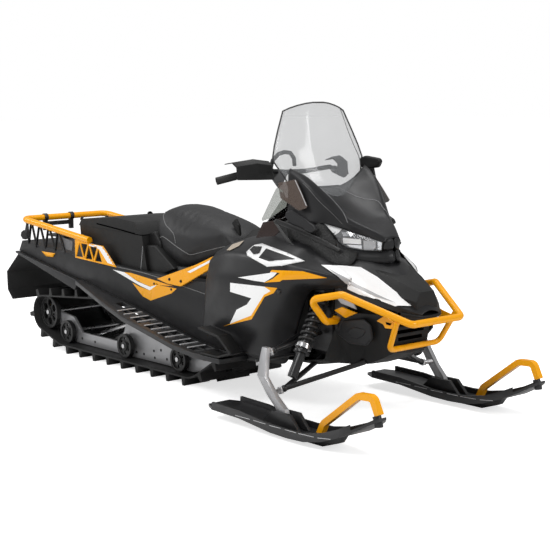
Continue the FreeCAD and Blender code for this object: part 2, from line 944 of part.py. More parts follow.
def make_front_frame():
    floor_line = [point(-433.5, 0, 238), point(-190, 0, 238), point(-60, 0, 247), point(110, 0, 267)]
    floor_line += [point(110, 0, frame_top), point(-433.5, 0, frame_top)]
    box = Part.Face(Part.makePolygon(floor_line + floor_line[:1])).extrude(Vector(0, 2 * frame_half, 0))
    box.translate(Vector(0, -frame_half, -float(size("running_gap"))))
    tower = block(-210, -58, tower_inner, tower_outer, 290, tower_top)
    foot = block(-190, -58, frame_half - 20, tower_outer, 290, frame_top - 0.3)
    cap = block(-118, -60, tower_inner, 212, 553.1, tower_top)
    stay = rod(point(-190, tower_inner + 4, 545), point(-190, 420, 562), 9).cut(left_panel)
    stay = min(stay.Solids, key=lambda solid: solid.CenterOfMass.y).translated(LEFT * float(-size("running_gap")))
    bar_channel = rod(Vector(bar_place.x, -bar_place.y, bar_place.z), bar_place, size("tie_rod_radius") + clearance)
    bar_channel.translate(kingpin * 6)
    towers = both_sides(tower.fuse([foot, cap, stay]))
    flange = block(-58, bumper_seat_x, tower_inner, bumper_seat_y + 18, bumper_seat_z - 20, bumper_seat_z + 20)
    frame = box.fuse([towers, both_sides(flange)])
    return frame.cut(bar_channel).removeSplitter()


add_feature("front_frame", make_front_frame())

# Headlamps, each a clear wedge in a black housing.
def lamp_outline(y, front_top, front_low, depth):
    """One upright section of a lamp: two front corners (X, Z) and the same moved back."""
    (x_top, z_top), (x_low, z_low) = front_top, front_low
    return [point(x_top, y, z_top), point(x_low, y, z_low),
            point(x_low - depth, y, z_low), point(x_top - depth, y, z_top)]


LAMP_SECTIONS = [
    (50, (163, 793), (169, 756)),
    (170, (73, 846), (69, 768)),
    (216, (18, 862), (18, 846)),
]
lens_depth = 16
lens = loft([lamp_outline(y, top, low, lens_depth) for y, top, low in LAMP_SECTIONS])
add_feature("headlamps", both_sides(lens))
housing_shift = lens_depth + float(size("running_gap"))
housing = loft([
    lamp_outline(y, (top[0] - housing_shift, top[1]), (low[0] - housing_shift, low[1]), 30)
    for y, top, low in LAMP_SECTIONS
])
add_feature("lamp_housings", both_sides(housing))

lamp_space = loft([
    lamp_outline(y, (top[0] + 4, top[1] + 0.5), (low[0] + 4, low[1] - 0.5), lens_depth + 46)
    for y, top, low in LAMP_SECTIONS
])

# Upper cowl around the windshield's foot: a trough with raised ridges at its sides.
SURROUND_SECTIONS = [
    (-253, [(245, 900), (222, 1030), (196, 1045), (110, 985), (0, 965)]),
    (-150, [(246, 860), (226, 965), (200, 983), (110, 930), (0, 915)]),
    (-50, [(246, 810), (226, 895), (200, 915), (110, 880), (0, 862)]),
    (30, [(236, 790), (214, 848), (180, 860), (90, 838), (0, 815)]),
    (95, [(120, 760), (100, 790), (70, 800), (35, 790), (0, 776)]),
]


def make_surround():
    stations = []
    for x, half in SURROUND_SECTIONS:
        right = [(-y, z) for y, z in half]
        stations.append((x, right + half[-2::-1]))
    surround = shell_loft(stations, panel_wall).cut(both_sides(lamp_space))
    add_feature("windshield_surround", max(surround.Solids, key=lambda solid: solid.Volume))
    return loft([[point(x, y, z) for y, z in offset_inward(line, -size("running_gap"))] for x, line in stations])


surround_form = make_surround()

# Side vents: a sheet with slots on each side, between a body panel's shoulder and the upper cowl.
VENT_SECTIONS = [
    (-248, [(243, 912), (243, 748)]),
    (-150, [(243, 872), (243, 738)]),
    (-50, [(243, 822), (247, 724)]),
    (18, [(237, 802), (254, 712)]),
]
vent_wall = 5
vent_slots = 5


def gap_band(stations):
    """A panel's own space and one gap on both of its faces."""
    outset = [(x, offset_inward(line, -size("running_gap"))) for x, line in stations]
    return shell_loft(outset, panel_wall + 2 * size("running_gap"))


def make_side_vents():
    surround_stations = []
    for x, half in SURROUND_SECTIONS:
        surround_stations.append((x, half[::-1]))
    vent = shell_loft(VENT_SECTIONS, vent_wall)
    vent = vent.cut(gap_band(surround_stations)).cut(gap_band([(x, line[::-1]) for x, line in SIDE_SECTIONS]))
    vent = max(vent.Solids, key=lambda solid: solid.Volume)
    for i in range(vent_slots):
        slot = block(-215 + 42 * i, -193 + 42 * i, 225, 260, 762 - 2 * i, 850 - 16 * i)
        vent = vent.cut(slot)
    add_feature("side_vents", both_sides(vent))


make_side_vents()


# Windshield: a curved clear sheet that leans back.
def shield_outline(z, front, edge, half):
    wall = size("windshield_wall")
    sheet_points = []
    for share in (-1, -0.75, -0.4, 0, 0.4, 0.75, 1):
        sheet_points.append((half * share, front + (edge - front) * share * share))
    outer = [point(x, y, z) for y, x in sheet_points]
    inner = [point(x - wall, y, z) for y, x in reversed(sheet_points)]
    return outer + inner


shield = loft(
    [
        shield_outline(935, -193, -262, 205),
        shield_outline(1020, -222, -290, 225),
        shield_outline(1060, -236, -308, 246),
        shield_outline(1103, -250, -325, 269),
        shield_outline(1160, -268, -335, 250),
        shield_outline(1230, -290, -346, 219),
        shield_outline(1309, -312, -358, 181),
        shield_outline(1338, -320, -352, 138),
        shield_outline(1350, -323, -336, 90),
    ],
)
shield = max(shield.cut(surround_form).Solids, key=lambda solid: solid.Volume)
add_feature("windshield", shield)

# Front bumper: one upper bow and one lower loop of tube.
bumper_radius = size("bumper_radius")


def make_bumper():
    seat_x = bumper_seat_x + size("running_gap")
    upper = [
        point(seat_x, -bumper_seat_y, bumper_seat_z),
        point(-10, -bumper_seat_y, bumper_seat_z),
        point(-2, -255, 440),
        point(-20, -330, 540),
        point(120, -282, 572),
        point(386, -150, 466),
        point(386, 150, 466),
        point(120, 282, 572),
        point(-20, 330, 540),
        point(-2, 255, 440),
        point(-10, bumper_seat_y, bumper_seat_z),
        point(seat_x, bumper_seat_y, bumper_seat_z),
    ]
    lower = [
        point(330, -176, 476),
        point(262, -150, 345),
        point(262, 150, 345),
        point(330, 176, 476),
    ]
    add_feature("front_bumper", tube(upper, bumper_radius, 32).fuse(tube(lower, bumper_radius - 3, 32)))


make_bumper()


# Track: one closed belt whose rows of lugs take turns between the middle and the sides.
lug_height = size("lug_height")
belt = size("belt_thickness")
ground_inner = lug_height + belt

track_circles = [
    (size("idler_back") * -1, size("idler_height"), size("idler_radius")),
    (size("rear_bogie_back") * -1, ground_inner + size("bogie_radius"), size("bogie_radius")),
    (size("nose_curve_back") * -1, ground_inner + size("nose_curve_radius"), size("nose_curve_radius")),
    (size("drive_back") * -1, size("drive_height"), size("drive_radius")),
]


def track_path():
    """The belt's inner line around its wheels, as straight runs and arcs, anticlockwise."""
    circles = [(float(fore(x)), float(z), float(radius)) for x, z, radius in track_circles]
    tangents = []
    for i, (x, z, radius) in enumerate(circles):
        next_x, next_z, next_radius = circles[(i + 1) % len(circles)]
        heading = math.atan2(next_z - z, next_x - x)
        distance = math.hypot(next_x - x, next_z - z)
        lean = math.asin((next_radius - radius) / distance)
        tangents.append(heading - math.pi / 2 - lean)
    pieces = []
    for i, (x, z, radius) in enumerate(circles):
        arrive = tangents[i - 1]
        leave = tangents[i]
        sweep = (leave - arrive) % (2 * math.pi)
        pieces.append(("arc", x, z, radius, arrive, sweep))
        next_x, next_z, next_radius = circles[(i + 1) % len(circles)]
        start = (x + radius * math.cos(leave), z + radius * math.sin(leave))
        end = (next_x + next_radius * math.cos(leave), next_z + next_radius * math.sin(leave))
        pieces.append(("run", start, end, leave))
    return pieces


def path_length(pieces, outward):
    total = 0.0
    for piece in pieces:
        if piece[0] == "arc":
            total += (piece[3] + outward) * piece[5]
        else:
            total += math.dist(piece[1], piece[2])
    return total


def path_place(pieces, outward, along):
    """The place and outward direction on the belt at a distance along it."""
    for piece in pieces:
        if piece[0] == "arc":
            kind, x, z, radius, arrive, sweep = piece
            length = (radius + outward) * sweep
            if along <= length:
                angle = arrive + along / (radius + outward)
                normal = (math.cos(angle), math.sin(angle))
                reach = radius + outward
                return (x + normal[0] * reach, z + normal[1] * reach), normal
        else:
            kind, start, end, angle = piece
            length = math.dist(start, end)
            if along <= length:
                share = along / length
                normal = (math.cos(angle), math.sin(angle))
                x = start[0] + (end[0] - start[0]) * share + normal[0] * outward
                z = start[1] + (end[1] - start[1]) * share + normal[1] * outward
                return (x, z), normal
        along -= length
    return path_place(pieces, outward, 0.0)


def inner_line(pieces):
    """The belt's inner line as a wire of true arcs and straight runs."""
    edges = []
    for piece in pieces:
        if piece[0] == "arc":
            kind, x, z, radius, arrive, sweep = piece
            on_arc = [Vector(x + radius * math.cos(arrive + sweep * share), 0,
                             z + radius * math.sin(arrive + sweep * share)) for share in (0, 0.5, 1)]
            edges.append(Part.Arc(*on_arc).toShape())
        else:
            kind, start, end, angle = piece
            edges.append(Part.LineSegment(Vector(start[0], 0, start[1]), Vector(end[0], 0, end[1])).toShape())
    return Part.Wire(edges)


def belt_strip(pieces, low, high, first_row, row_count):
    """A strip of the belt with every second row of lugs, as one straight-edged loop."""
    thickness = float(belt)
    length = path_length(pieces, thickness)
    pitch = length / row_count
    half_base = float(size("lug_base")) / 2
    half_tip = float(size("lug_tip")) / 2
    outer = []
    for row in range(first_row, row_count, 2):
        middle = pitch * (row + 0.5)
        for shift, rise in ((-half_base, 0), (-half_tip, 1), (half_tip, 1), (half_base, 0)):
            (x, z), normal = path_place(pieces, thickness, (middle + shift) % length)
            height = float(lug_height) * rise
            outer.append(Vector(x + normal[0] * height, 0, z + normal[1] * height))
        for step in range(1, 5):
            along = middle + half_base + (2 * pitch - 2 * half_base) * step / 5
            (x, z), normal = path_place(pieces, thickness, along % length)
            outer.append(Vector(x, 0, z))
    outer_face = Part.Face(Part.makePolygon(outer + outer[:1]))
    inner_face = Part.Face(inner_line(pieces))
    ring = outer_face.cut(inner_face)
    return ring.extrude(LEFT * float(high - low)).translated(LEFT * float(low))


def make_track():
    pieces = track_path()
    pitch = float(size("track_pitch"))
    rows = 2 * round(path_length(pieces, float(belt)) / pitch / 2)
    half = size("track_width") / 2
    middle = size("centre_lug_width") / 2
    strips = [
        belt_strip(pieces, -half, -middle, 0, rows),
        belt_strip(pieces, -middle, middle, 1, rows),
        belt_strip(pieces, middle, half, 0, rows),
    ]
    add_feature("track", strips[0].fuse(strips[1:]).removeSplitter())


make_track()


# Wheels of the track, each turned from one profile, with round windows through its web.
WHEEL_WINDOWS = 6


def wheel(x, y, z, radius, width, bore):
    """A wheel with a rim, a thin web and a hub, its middle at the given place."""
    half = float(width) / 2
    rim = float(radius) - 14
    hub = float(size("wheel_hub_radius"))
    profile = [
        (float(bore), -half),
        (hub, -half),
        (hub, -half * 0.35),
        (rim, -half * 0.35),
        (rim, -half),
        (float(radius), -half),
        (float(radius), half),
        (rim, half),
        (rim, half * 0.35),
        (hub, half * 0.35),
        (hub, half),
        (float(bore), half),
    ]
    places = [Vector(reach, y_place, 0) for reach, y_place in profile]
    face = Part.Face(Part.makePolygon(places + places[:1]))
    turned = face.revolve(Vector(0, 0, 0), LEFT, 360)
    window_ring = (hub + rim) / 2
    window_radius = min((rim - hub) / 2 - 3, window_ring * 0.42)
    for i in range(WHEEL_WINDOWS):
        angle = math.tau * (i + 0.5) / WHEEL_WINDOWS
        middle = Vector(window_ring * math.cos(angle), -half, window_ring * math.sin(angle))
        turned = turned.cut(Part.makeCylinder(window_radius, 2 * half, middle, LEFT))
    return turned.translated(point(x, y, z))


wheel_width = size("wheel_width")
axle_radius = size("axle_radius")
gap = size("running_gap")
wheel_offset = size("rail_offset") + size("rail_thickness") / 2 + wheel_width / 2 + 14
bogie_z = ground_inner + size("bogie_radius") + gap

idler = wheel(-size("idler_back"), wheel_offset, size("idler_height"), size("idler_radius") - gap, wheel_width, axle_radius + gap)
add_feature("rear_idlers", both_sides(idler))
bogies = []
for back in ("rear_bogie_back", "middle_bogie_back", "front_bogie_back"):
    one = wheel(-size(back), wheel_offset, bogie_z, size("bogie_radius"), wheel_width, axle_radius + gap)
    bogies.append(both_sides(one))
add_feature("bogie_wheels", Part.makeCompound(bogies))

axle_half = wheel_offset + wheel_width / 2 + 6
axles = [cross_rod(-size("idler_back"), size("idler_height"), axle_radius, axle_half)]
for back in ("rear_bogie_back", "middle_bogie_back", "front_bogie_back"):
    axles.append(cross_rod(-size(back), bogie_z, axle_radius, axle_half))

drive_shaft = cross_rod(-size("drive_back"), size("drive_height"), 16, tunnel_half - tunnel_wall - gap)
sprocket = cross_rod(-size("drive_back"), size("drive_height"), size("drive_radius") - gap, 60)
add_feature("drive_axle", drive_shaft.fuse(sprocket))

rail_low = size("rail_bottom")
rail_high = size("rail_top")
side_plate(
    "slide_rails",
    [
        (fore(-2320), 180),
        (fore(-2120), rail_low + 12),
        (fore(-2060), rail_low),
        (fore(-1020), rail_low),
        (fore(-940), rail_low + 20),
        (fore(-850), rail_low + 72),
        (fore(-836), rail_low + 90),
        (fore(-852), rail_low + 94),
        (fore(-930), rail_high + 8),
        (fore(-1080), rail_high + 12),
        (fore(-1150), rail_high),
        (fore(-1214), rail_high + 46),
        (fore(-1325), rail_high + 64),
        (fore(-1474), rail_high + 107),
        (fore(-1580), rail_high + 128),
        (fore(-1610), rail_high + 60),
        (fore(-1660), rail_high),
        (fore(-2010), rail_high),
        (fore(-2090), rail_high + 75),
        (fore(-2250), rail_high + 92),
        (fore(-2320), rail_high + 92),
    ],
    size("rail_offset") - size("rail_thickness") / 2,
    size("rail_thickness"),
    holes=[
        (fore(-size("idler_back")), size("idler_height"), axle_radius + 0.05),
        (fore(-size("rear_bogie_back")), bogie_z, axle_radius + 0.05),
        (fore(-size("middle_bogie_back")), bogie_z, axle_radius + 0.05),
        (fore(-size("front_bogie_back")), bogie_z, axle_radius + 0.05),
    ],
)

# Suspension arms inside the track, from the rails up to the tunnel's sides.
rail_inner = size("rail_offset") - size("rail_thickness") / 2


def place_between(low, high, share):
    return low[0] + (high[0] - low[0]) * share, low[1] + (high[1] - low[1]) * share


def suspension_arm(low, high, share):
    low_x, low_z = low
    high_x, high_z = high
    side = float(rail_inner) - 20
    lower = rod(point(low_x, -rail_inner + gap, low_z), point(low_x, rail_inner - gap, low_z), 10)
    upper = cross_rod(high_x, high_z, 10, tunnel_half - tunnel_wall - gap)
    arms = [rod(point(low_x, y, low_z), point(high_x, y, high_z), 12) for y in (-side, side)]
    seat_x, seat_z = place_between(low, high, share)
    shock_seat = rod(point(seat_x, -side, seat_z), point(seat_x, side, seat_z), 10)
    return lower.fuse([upper, shock_seat] + arms)


rail_shafts = ((-1420, 92), (-1980, 92), (-1020, 92))
for shaft_x, shaft_z in rail_shafts:
    axles.append(rod(point(shaft_x, -rail_inner + gap, shaft_z), point(shaft_x, rail_inner - gap, shaft_z), 10))
add_feature("wheel_axles", Part.makeCompound(axles))
front_arm = ((-1180, 92), (-900, 300), 0.5)
rear_arm = ((-1760, 92), (-1300, 345), 0.74)
add_feature("front_skid_arm", suspension_arm(*front_arm))
add_feature("rear_skid_arm", suspension_arm(*rear_arm))


def coil(start, end, radius, wire, turns):
    """A round wire wound along a shock absorber, between its two collars."""
    axis = end - start
    length = axis.Length
    path = Part.makeHelix(length / turns, length, float(radius))
    profile = Part.Wire(Part.makeCircle(float(wire), Vector(float(radius), 0, 0), LEFT))
    spring = Part.Wire(path.Edges).makePipeShell([profile], True, True)
    spring.Placement = FreeCAD.Placement(start, FreeCAD.Rotation(UP, axis))
    return spring


shock_radius = size("shock_radius")
collar_radius = size("spring_radius") + size("spring_wire")
skid_shocks = []
seat_reach = 10 + float(gap)
front_seat = place_between(*front_arm)
rear_seat = place_between(*rear_arm)
for y, low, high in ((0, rail_shafts[0], front_seat), (60, rail_shafts[1], rear_seat), (-60, rail_shafts[1], rear_seat)):
    start = point(low[0], y, low[1])
    end = point(high[0], y, high[1])
    run = (end - start).normalize()
    skid_shocks.append(rod(start + run * seat_reach, end - run * seat_reach, shock_radius))
add_feature("skid_shocks", Part.makeCompound(skid_shocks))

# Front suspension: two wishbones and a shock on each side.
def wishbone(ball, pivots, radius):
    """Two tubes that meet in a socket around the kingpin's stud."""
    middle = (pivots[0] + pivots[1]) * 0.5
    tip = ball - (ball - middle).normalize() * 19
    tubes = [rod(pivot, tip, radius) for pivot in pivots]
    arm = tubes[0].fuse([tubes[1], Part.makeSphere(float(radius) + 4, tip)])
    stud_space = rod(ball - kingpin * 60, ball + kingpin * 60, stud_radius + size("running_gap"))
    return arm.cut(stud_space)


lower_arm = wishbone(lower_ball, lower_pivots, arm_radius)
add_feature("lower_arms", both_sides(lower_arm))
upper_arm = wishbone(upper_ball, upper_pivots, arm_radius - 2)
add_feature("upper_arms", both_sides(upper_arm))
shock_run = shock_high - shock_low
spring_low = shock_low + shock_run * 0.32
spring_high = shock_low + shock_run * 0.92
along_shock = Vector(shock_run).normalize()
collar_reach = size("spring_wire") + size("running_gap")
collars = [
    rod(spring_low - along_shock * (collar_reach + 9), spring_low - along_shock * collar_reach, collar_radius),
    rod(spring_high + along_shock * collar_reach, spring_high + along_shock * (collar_reach + 9), collar_radius),
]
shock = rod(shock_low, shock_high, shock_radius).fuse(collars)
add_feature("front_shocks", both_sides(shock))
spring = coil(spring_low, spring_high, size("spring_radius"), size("spring_wire"), 7)
add_feature("front_springs", both_sides(spring))

# Spindles: a web outboard of the two kingpin studs, a steering arm behind and a foot at the ski.
ski_y = size("ski_stance") / 2
bolt_z = size("ski_bolt_height")


def ear_section(centre, along, half_width):
    """A rectangle across the spindle's web, level, at one height."""
    return [centre + Vector(u * along, v * half_width, 0) for u, v in ((-1, -1), (1, -1), (1, 1), (-1, 1))]


def make_spindle():
    web = loft(
        [
            ear_section(point(-150, ball_y + 22, 338), 16, 10),
            ear_section(point(-146, ball_y + 34, 300), 18, 11),
            ear_section(point(-128, ball_y + 60, 225), 24, 11),
            ear_section(point(-70, ball_y + 54, 150), 26, 11),
            ear_section(point(-22, ski_y, 104), 28, 12),
            ear_section(point(0, ski_y, 62), 22, 12),
        ]
    )
    studs = [rod(ball - kingpin * 15, ball + kingpin * 15, stud_radius) for ball in (lower_ball, upper_ball)]
    ears = [rod(lower_ball, lower_ball + Vector(14, 48, 0), 10), rod(upper_ball, upper_ball + Vector(0, 30, 0), 10)]
    arm_root = point(-128, ball_y + 56, 235)
    arm = rod(arm_root, steering_eye, 9)
    pad = Part.makeCylinder(16, 12, steering_eye, kingpin)
    below = rod(steering_eye + kingpin * 12, steering_eye + kingpin * 60, 60)
    bolt_hole = rod(point(0, ski_y - 60, bolt_z), point(0, ski_y + 60, bolt_z), size("ski_bolt_radius") + 0.05)
    return web.fuse(studs + ears + [arm.cut(below), pad]).cut(bolt_hole)


spindle = make_spindle()
add_feature("spindle_left", spindle)
add_feature("spindle_right", mirrored(spindle))


# Steering link: one bar that slides across the machine, its eyes lying on the spindle arms.
def make_steering_link():
    eye = Part.makeCylinder(15, 12, bar_place, kingpin)
    centre = bar_place + kingpin * 6
    bar = rod(Vector(centre.x, -centre.y, centre.z), centre, 6)
    return bar.fuse([eye, mirrored(eye)])


add_feature("steering_link", make_steering_link())


# Skis: a bent sole with raised edges, a keel, a saddle and a loop at the tip.
SKI_LINE = [(-436, 48), (-200, 44), (0, 21), (100, 18), (200, 22), (300, 42), (400, 78), (480, 118), (553, 160)]


def make_ski():
    wall = float(size("ski_thickness"))
    lower = [(x, z) for x, z in SKI_LINE]
    upper = [(x, z + wall) for x, z in reversed(SKI_LINE)]
    side_view = [point(x, 0, z) for x, z in lower + upper]
    sole = Part.Face(Part.makePolygon(side_view + side_view[:1])).extrude(LEFT * float(size("ski_width")))
    sole = sole.translated(LEFT * float(-size("ski_width") / 2))
    half = float(size("ski_width")) / 2
    plan = [(-436, 58), (-380, half), (420, half), (520, 50), (553, 20)]
    around = [point(x, y, 0) for x, y in plan] + [point(x, -y, 0) for x, y in reversed(plan)]
    cutter = Part.Face(Part.makePolygon(around + around[:1])).extrude(UP * 400)
    sole = sole.common(cutter)
    rib_line = [(-380, 47), (-200, 43), (0, 22), (100, 20), (200, 24), (300, 43), (400, 79), (470, 114)]
    rib_view = [point(x, 0, z) for x, z in rib_line] + [point(x, 0, z + 34) for x, z in reversed(rib_line)]
    rib = Part.Face(Part.makePolygon(rib_view + rib_view[:1])).extrude(LEFT * 12)
    ribs = [rib.translated(LEFT * y).common(cutter) for y in (half - 12, -half)]
    saddle_view = [(-110, 40), (120, 34), (60, 96), (-50, 96)]
    saddle_side = [point(x, 0, z) for x, z in saddle_view]
    saddle = Part.Face(Part.makePolygon(saddle_side + saddle_side[:1])).extrude(LEFT * 16)
    saddles = [saddle.translated(LEFT * y) for y in (18, -34)]
    keel_view = [point(x, 0, z) for x, z in [(-200, 50), (-120, 6), (-60, 0), (240, 0), (330, 30), (360, 70), (200, 26), (100, 22), (0, 25)]]
    keel = Part.Face(Part.makePolygon(keel_view + keel_view[:1])).extrude(LEFT * float(size("keel_width")))
    keel = keel.translated(LEFT * float(-size("keel_width") / 2))
    bolt = rod(point(0, -34, bolt_z), point(0, 34, bolt_z), size("ski_bolt_radius"))
    return sole.fuse(ribs + saddles + [keel, bolt])


ski = make_ski()
add_feature("ski_left", ski, LEFT * float(ski_y))
add_feature("ski_right", ski, LEFT * float(-ski_y))
loop_path = [point(212, 0, 45), point(236, 0, 92), point(430, 0, 236), point(505, 0, 240), point(535, 0, 178)]
ski_loop = strap(loop_path, size("loop_width"), 26, 24)
add_feature("ski_loop_left", ski_loop, LEFT * float(ski_y))
add_feature("ski_loop_right", ski_loop, LEFT * float(-ski_y))

# Handlebar: a bent bar on a leaning post, with grips, guards and a grab loop.
tilt = math.radians(size("steering_tilt"))
post_axis = Vector(-math.sin(tilt), 0, math.cos(tilt))
bar_centre = point(-475, 0, 1037)
post_foot = bar_centre - post_axis * 420
bar_radius = size("handlebar_radius")


def bar_path():
    return [
        point(-561, -382, 1007),
        point(-482, -215, 1050),
        bar_centre + Vector(0, -60, 0),
        bar_centre + Vector(0, 60, 0),
        point(-482, 215, 1050),
        point(-561, 382, 1007),
    ]


def make_handlebar():
    post = rod(post_foot, bar_centre, size("post_radius"))
    bar = tube(bar_path(), bar_radius, 40)
    add_feature("handlebar", post.fuse(bar))
    grip_start = point(-508, -270, 1036)
    grip_end = point(-561, -382, 1007)
    direction = (grip_end - grip_start).normalize()
    sleeve = Part.makeCylinder(float(size("grip_radius")), 132, grip_start, direction)
    core = Part.makeCylinder(float(bar_radius) + 0.2, 200, grip_start - direction * 10, direction)
    add_feature("grips", both_sides(sleeve.cut(core)))


make_handlebar()

def guard_section(y, front, top):
    """An upright section of a hand guard: a plate in front that folds back over the bar."""
    wall = 5
    outer = [(front + 6, 1012), (front, 1030), (front - 4, top - 18), (front - 34, top), (front - 86, top - 8)]
    inner = [(x - wall, z - wall) for x, z in reversed(outer[2:])] + [(x - wall, z) for x, z in reversed(outer[:2])]
    return [point(x, y, z) for x, z in outer + inner]


guard_right = loft([guard_section(-196, -402, 1092), guard_section(-262, -430, 1102), guard_section(-334, -482, 1088)])
guard_stalks = [rod(point(-492, y, 1046), point(x, y, 1046), 6) for y, x in ((-212, -411), (-250, -427))]
guard_right = guard_right.fuse(guard_stalks)
bar_space = tube(bar_path(), bar_radius + size("running_gap"), 40)
guard_right = max(guard_right.cut(bar_space).Solids, key=lambda solid: solid.Volume)
add_feature("hand_guards", both_sides(guard_right))
loop_places = [
    bar_centre + Vector(0, -70, 14),
    bar_centre + Vector(-20, -60, 70),
    bar_centre + Vector(-25, 0, 100),
    bar_centre + Vector(-20, 60, 70),
    bar_centre + Vector(0, 70, 14),
]
add_feature("grab_loop", tube(loop_places, 10, 24))

# Instrument pod and dash around the steering post.
section_loft(
    "dash",
    [
        (fore(-560) + size("running_gap"), [(-150, 640), (-130, 780), (130, 780), (150, 640)]),
        (fore(-380), [(-160, 700), (-130, 850), (130, 850), (160, 700)]),
        (fore(-230), [(-170, 760), (-140, 890), (140, 890), (170, 760)]),
    ],
)
document.recompute()
post_channel = rod(bar_centre - post_axis * 480, bar_centre, size("post_radius") + size("running_gap"))
dash_body = document.getObject("dash")
nodes.remove(dash_body)
dash_shape = dash_body.Shape.cut(post_channel)
dash_body.Label = "dash_blank"
add_feature("dash", dash_shape)


def dash_top(x):
    return 850 + (890 - 850) * (x + 380) / (380 - 230) + size("running_gap")


cross_piece(
    "gauge_pod",
    [
        (fore(-346), dash_top(-346)),
        (fore(-270), dash_top(-270)),
        (fore(-266), 925),
        (fore(-290), 984),
        (fore(-340), 966),
        (fore(-352), 905),
    ],
    200,
)

# Mirror on the left, on a neck that stands on the cowl's ridge.
mirror_shell = loft(
    [
        [point(x, y, z) for x, y, z in ((-262, 204, 1058), (-262, 318, 1070), (-262, 322, 1136), (-262, 200, 1140))],
        [point(x, y, z) for x, y, z in ((-236, 204, 1058), (-236, 318, 1070), (-236, 322, 1136), (-236, 200, 1140))],
        [point(x, y, z) for x, y, z in ((-218, 224, 1074), (-218, 296, 1084), (-218, 298, 1120), (-218, 222, 1122))],
    ]
)
ridge_corners = [point(-253, 222, 1030), point(-253, 196, 1045), point(-150, 200, 983)]
ridge_up = (ridge_corners[2] - ridge_corners[1]).cross(ridge_corners[0] - ridge_corners[1]).normalize()
neck_foot = (ridge_corners[0] + ridge_corners[1]) * 0.5 + (ridge_corners[2] - ridge_corners[1]) * 0.12
neck = rod(neck_foot + ridge_up * float(size("running_gap")), neck_foot + ridge_up * 44, 8)
add_feature("mirror", mirror_shell.fuse(neck))

# Smoked deflectors beside the windshield.
deflector_inner = 245.1 + size("running_gap")
DEFLECTOR_PANES = [
    [(-297, 1006), (-185, 1028), (-107, 913), (-162, 894)],
    [(-430, 838), (-398, 962), (-352, 975), (-250, 985), (-190, 925), (-240, 880), (-330, 852)],
]


def deflector_pane(corners):
    face = Part.Face(Part.makePolygon([point(x, deflector_inner, z) for x, z in corners + corners[:1]]))
    return face.extrude(LEFT * 4)


deflector = deflector_pane(DEFLECTOR_PANES[0]).fuse(deflector_pane(DEFLECTOR_PANES[1])).removeSplitter()
add_feature("side_deflectors", both_sides(deflector))

# Tow hitch: a tongue on the tunnel's rear deck with one eye behind it.
hitch_low = rear_height + size("running_gap")
hitch = block(-2580, -2400, -32, 32, hitch_low, hitch_low + 12)
hitch = hitch.cut(Part.makeCylinder(10, 60, point(-2550, 0, 560), UP))
add_feature("tow_hitch", hitch)


def check_document():
    """Stop if anything in the document failed or is not a valid solid shape."""
    document.recompute()
    for item in document.Objects:
        if "Invalid" in item.State or "Error" in item.State:
            raise RuntimeError("%s: %s" % (item.Label, item.State))
    for node in nodes:
        if node.Shape.isNull() or not node.Shape.isValid() or not node.Shape.Solids:
            raise RuntimeError("bad shape: " + node.Label)


check_document()
for node in nodes:
    node.Shape.exportStep("parts/%s.step" % node.Label)
    box = node.Shape.BoundBox
    print("%-20s solids %2d volume %9.0f  x %7.0f %7.0f y %6.0f %6.0f z %6.0f %6.0f" % (
        node.Label, len(node.Shape.Solids), node.Shape.Volume / 1000,
        box.XMin, box.XMax, box.YMin, box.YMax, box.ZMin, box.ZMax))
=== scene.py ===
import json
import math

import bmesh
import bpy
from mathutils import Matrix, Vector
from mathutils.bvhtree import BVHTree

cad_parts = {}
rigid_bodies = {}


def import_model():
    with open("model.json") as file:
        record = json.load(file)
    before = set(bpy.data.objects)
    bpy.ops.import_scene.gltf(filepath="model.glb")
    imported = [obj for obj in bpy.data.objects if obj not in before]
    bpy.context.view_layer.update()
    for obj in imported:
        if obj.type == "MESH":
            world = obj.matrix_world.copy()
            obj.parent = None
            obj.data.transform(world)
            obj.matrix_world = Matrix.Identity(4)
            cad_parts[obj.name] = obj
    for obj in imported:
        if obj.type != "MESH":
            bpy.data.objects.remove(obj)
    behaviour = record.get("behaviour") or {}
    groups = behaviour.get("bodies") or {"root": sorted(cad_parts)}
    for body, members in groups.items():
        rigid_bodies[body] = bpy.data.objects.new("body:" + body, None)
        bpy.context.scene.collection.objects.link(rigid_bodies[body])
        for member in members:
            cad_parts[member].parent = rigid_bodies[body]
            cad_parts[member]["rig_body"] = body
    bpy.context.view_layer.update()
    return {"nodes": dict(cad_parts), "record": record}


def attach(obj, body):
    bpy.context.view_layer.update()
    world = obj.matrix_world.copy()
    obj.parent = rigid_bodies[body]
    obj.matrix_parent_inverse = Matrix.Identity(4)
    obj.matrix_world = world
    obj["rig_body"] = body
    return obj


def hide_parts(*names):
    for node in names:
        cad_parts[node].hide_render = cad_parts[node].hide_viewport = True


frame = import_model()

# Places are given as in the drawings: millimetres from the ski bolts, on the floor, in the middle.
MM = 0.001
SKI_BOLT_X = 1.0425


def at(x, y, z):
    return Vector((SKI_BOLT_X + x * MM, y * MM, z * MM))


def new_object(name, data):
    made = bpy.data.objects.new(name, data)
    bpy.context.scene.collection.objects.link(made)
    return made


def set_inputs(node, values):
    for name, value in values.items():
        node.inputs[name].default_value = value


def join(source, output, target, socket):
    source.id_data.links.new(source.outputs[output], target.inputs[socket])


def new_material(name):
    material = bpy.data.materials.new(name)
    material.use_nodes = True
    tree = material.node_tree
    return material, tree.nodes, tree.nodes["Principled BSDF"]


